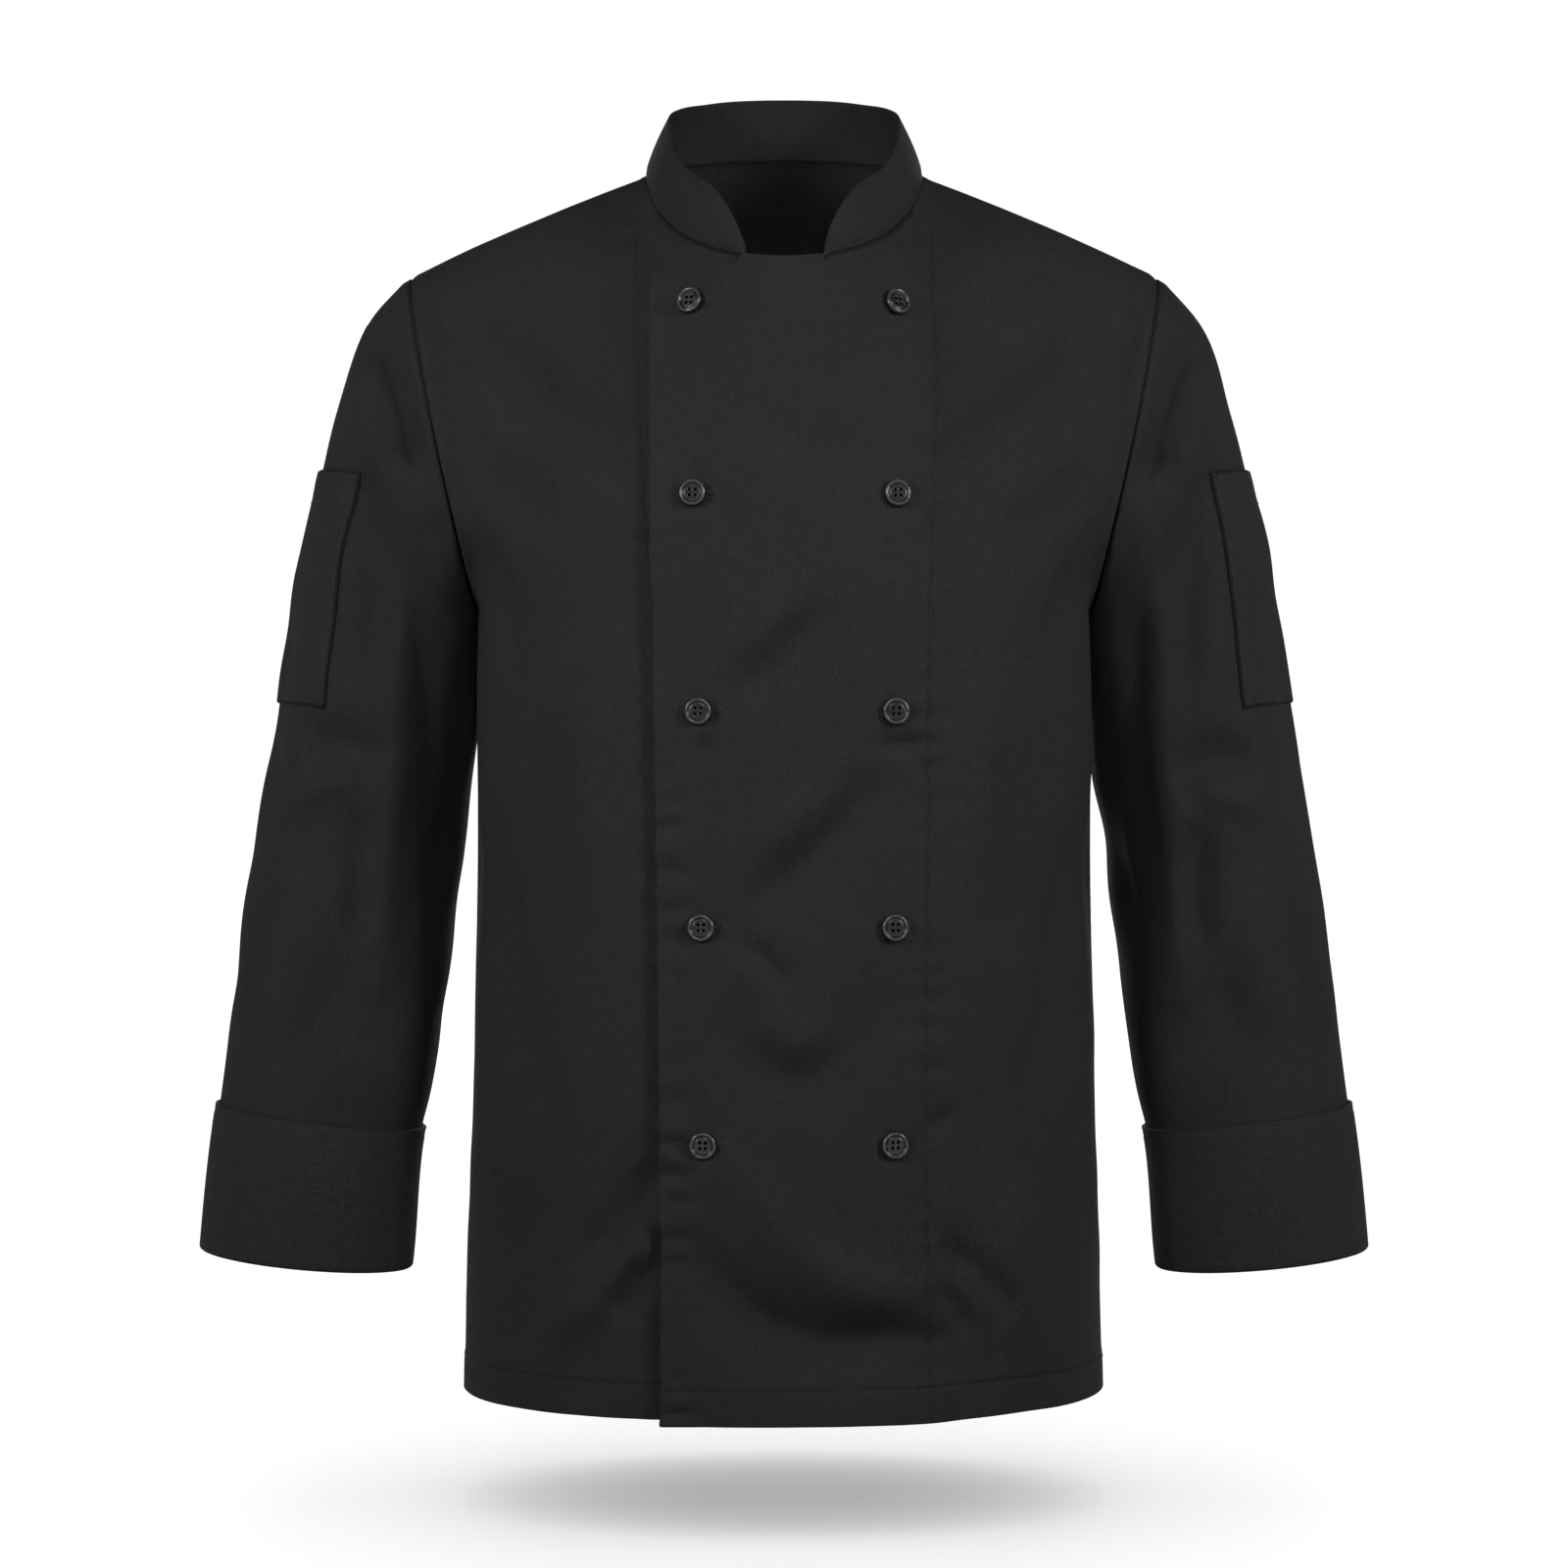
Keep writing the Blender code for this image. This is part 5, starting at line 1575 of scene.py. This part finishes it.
def sewn_shells():
    """The six pieces that meet at seams, joined, by node."""
    under, over = front_panels()
    back = back_panel()
    right, left = make_sleeve("right", under, back), make_sleeve("left", over, back)
    collar = make_collar(under, over, back)
    lay_grain(under, under.points.shape[1] - 1)
    lay_grain(over, index_of(OVER_COLUMNS, 0))
    lay_grain(back, index_of(BACK_COLUMNS, 0))
    join([under, over, back, collar, right, left])
    return {
        "right_front": under, "left_front": over, "back": back, "collar": collar,
        "sleeve_right": right, "sleeve_left": left,
    }


def seam_distances(shells):
    """How far each point of the sewn shells is from its seams, by node."""
    sides = {"right_front": ("first",), "left_front": ("last",), "back": ("first", "last")}
    found = {node: seam_distance(shells[node], edges) for node, edges in sides.items()}
    found["collar"] = shells["collar"].travelled()[..., 1]
    for side in SIDES:
        found[f"sleeve_{side}"] = shells[f"sleeve_{side}"].travelled()[:, :-1, 1]
    return found


def add_sewn(shells, cloth):
    """The meshes of the sewn shells, which it sinks at their seams."""
    distances = seam_distances(shells)
    corners = [shells["collar"].points[0, column].copy() for column in (0, -1)]
    pieces = {}
    for node, shell in shells.items():
        hem = node in HEMMED
        marks = marks_of(shell, distances[node], hem, FACINGS.get(node))
        dip_seams(shell, distances[node], corners, hem)
        wall = COLLAR_WALL if node == "collar" else WALL
        pieces[node] = add_shell(f"cloth_{node}", shell, wall, cloth, marks)
    return pieces


def sewing_lines(shells, pockets, cuffs):
    """The lines of stitches on each piece, by node."""
    over, under, back = (shells[node] for node in ("left_front", "right_front", "back"))
    over_tree, under_tree = cloth_tree(over), cloth_tree(under)
    buttonholes = [
        line for x, z in BUTTON_PLACES[:5] for line in buttonhole_lines(over_tree, x, z)
    ]
    lines = {
        "left_front": [level_line(over, HEM_Z - LAP_DROP + HEM_STITCH_UP),
                       seen_line(over_tree, FACING_LEFT), *buttonholes],
        "right_front": [level_line(under, HEM_Z + HEM_STITCH_UP),
                        seen_line(under_tree, FACING_RIGHT)],
        "back": [level_line(back, HEM_Z + HEM_STITCH_UP)],
        "collar": [inset_line(shells["collar"], COLLAR_STITCH_IN, "first_row")],
    }
    for side in SIDES:
        lines[f"cuff_{side}"] = [cuff_line(cuffs[side])]
        lines[f"sleeve_pocket_{side}"] = [
            inset_line(pockets[side], POCKET_HEM, "first_row"),
            *[inset_line(pockets[side], POCKET_STITCH_IN, edge)
              for edge in ("first_column", "last_column", "last_row")],
        ]
    return lines


def build_jacket():
    cloth, thread = cloth_material(), thread_material()
    shells = sewn_shells()
    pieces = add_sewn(shells, cloth)
    pockets, cuffs = {}, {}
    for side in SIDES:
        sleeve, node = shells[f"sleeve_{side}"], f"sleeve_pocket_{side}"
        pockets[side], cuffs[side] = make_pocket(sleeve), make_cuff(sleeve)
        marks = marks_of(pockets[side], edge_distance(pockets[side]))
        pieces[node] = add_shell(f"cloth_{node}", pockets[side], POCKET_WALL, cloth, marks)
        pieces[f"cuff_{side}"] = add_tube(f"cloth_cuff_{side}", cuffs[side], cloth)
    for node, piece in pieces.items():
        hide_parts(node)
        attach(piece, "root")
    add_buttons()
    stitches = {
        node: add_stitches(f"stitches_{node}", lines, thread)
        for node, lines in sewing_lines(shells, pockets, cuffs).items()
    }


# ---- stage ----

FLOOR_Z, FLOOR_RADIUS = -0.807, 9.0
SUN_POWER, SUN_SPREAD = 2.95, 130
CAMERA_AT = (0.0, -2.0, -0.372)
CAMERA_LENS, SENSOR_WIDTH = 75.0, 36.0
WORLD_LIGHT = 0.04  # on the jacket. Where the camera sees past it, the world is 1 brighter

LIGHTS = (  # name, location, target, size, power and spread in degrees
    ("left_key", (-1.45, -1.18, 0.28), (0.0, 0.0, -0.34), (0.40, 0.7), 18.0, 180),
    ("right_key", (1.45, -1.18, 0.28), (0.0, 0.0, -0.34), (0.40, 0.7), 19.5, 180),
    ("front_fill", (0.0, -1.60, 0.35), (0.0, 0.0, -0.34), (0.5, 0.5), 0.6, 45),
    ("left_back", (-0.60, 2.00, 0.20), (0.0, 0.0, -0.36), (0.6, 0.9), 17.0, 180),
    ("right_back", (0.60, 2.00, 0.20), (0.0, 0.0, -0.36), (0.6, 0.9), 17.0, 180),
)


def collection_of(name, obj):
    made = bpy.data.collections.new(name)
    made.objects.link(obj)
    return made


def add_floor():
    """A floor with a light of its own, and the list of lit things that leaves it out."""
    mesh = bpy.data.meshes.new("floor")
    solid = bmesh.new()
    bmesh.ops.create_circle(solid, cap_ends=True, segments=96, radius=FLOOR_RADIUS)
    solid.to_mesh(mesh)
    solid.free()
    mesh.materials.append(floor_material())
    floor = add_object("floor", mesh)
    floor.location.z = FLOOR_Z
    floor.visible_diffuse = False
    sun = bpy.data.lights.new("floor_sun", "SUN")
    sun.energy, sun.angle = SUN_POWER, math.radians(SUN_SPREAD)
    lamp = add_object("floor_sun", sun)
    lamp.light_linking.receiver_collection = collection_of("lit_by_floor_sun", floor)
    unlit = collection_of("all_but_the_floor", floor)
    for entry in unlit.collection_objects:
        entry.light_linking.link_state = "EXCLUDE"
    return unlit


def add_light(name, location, target, size, power, spread, lit):
    light = bpy.data.lights.new(name, "AREA")
    light.shape = "RECTANGLE"
    light.size, light.size_y = size
    light.energy = power
    light.spread = math.radians(spread)
    made = add_object(name, light)
    made.location = location
    direction = Vector(target) - Vector(location)
    made.rotation_euler = direction.to_track_quat("-Z", "Y").to_euler()
    made.light_linking.receiver_collection = lit


def add_world():
    """White where the camera looks past the jacket, and a softer light on the jacket itself."""
    world = bpy.data.worlds.new("studio")
    bpy.context.scene.world = world
    world.use_nodes = True
    nodes = Nodes(world.node_tree)
    background = world.node_tree.nodes["Background"]
    nodes.feed(background.inputs["Color"], (1.0, 1.0, 1.0, 1.0))
    strength = nodes.math("MULTIPLY_ADD", nodes.seen(), 1.0, WORLD_LIGHT)
    nodes.feed(background.inputs["Strength"], strength)


def add_camera():
    camera = bpy.data.cameras.new("camera")
    camera.sensor_width = SENSOR_WIDTH
    camera.lens = CAMERA_LENS
    made = add_object("camera", camera)
    made.location = CAMERA_AT
    made.rotation_euler = (math.pi / 2, 0.0, 0.0)
    bpy.context.scene.camera = made


build_jacket()
lit_by_lights = add_floor()
for light in LIGHTS:
    add_light(*light, lit_by_lights)
add_world()
add_camera()
bpy.context.scene.view_settings.view_transform = "Standard"
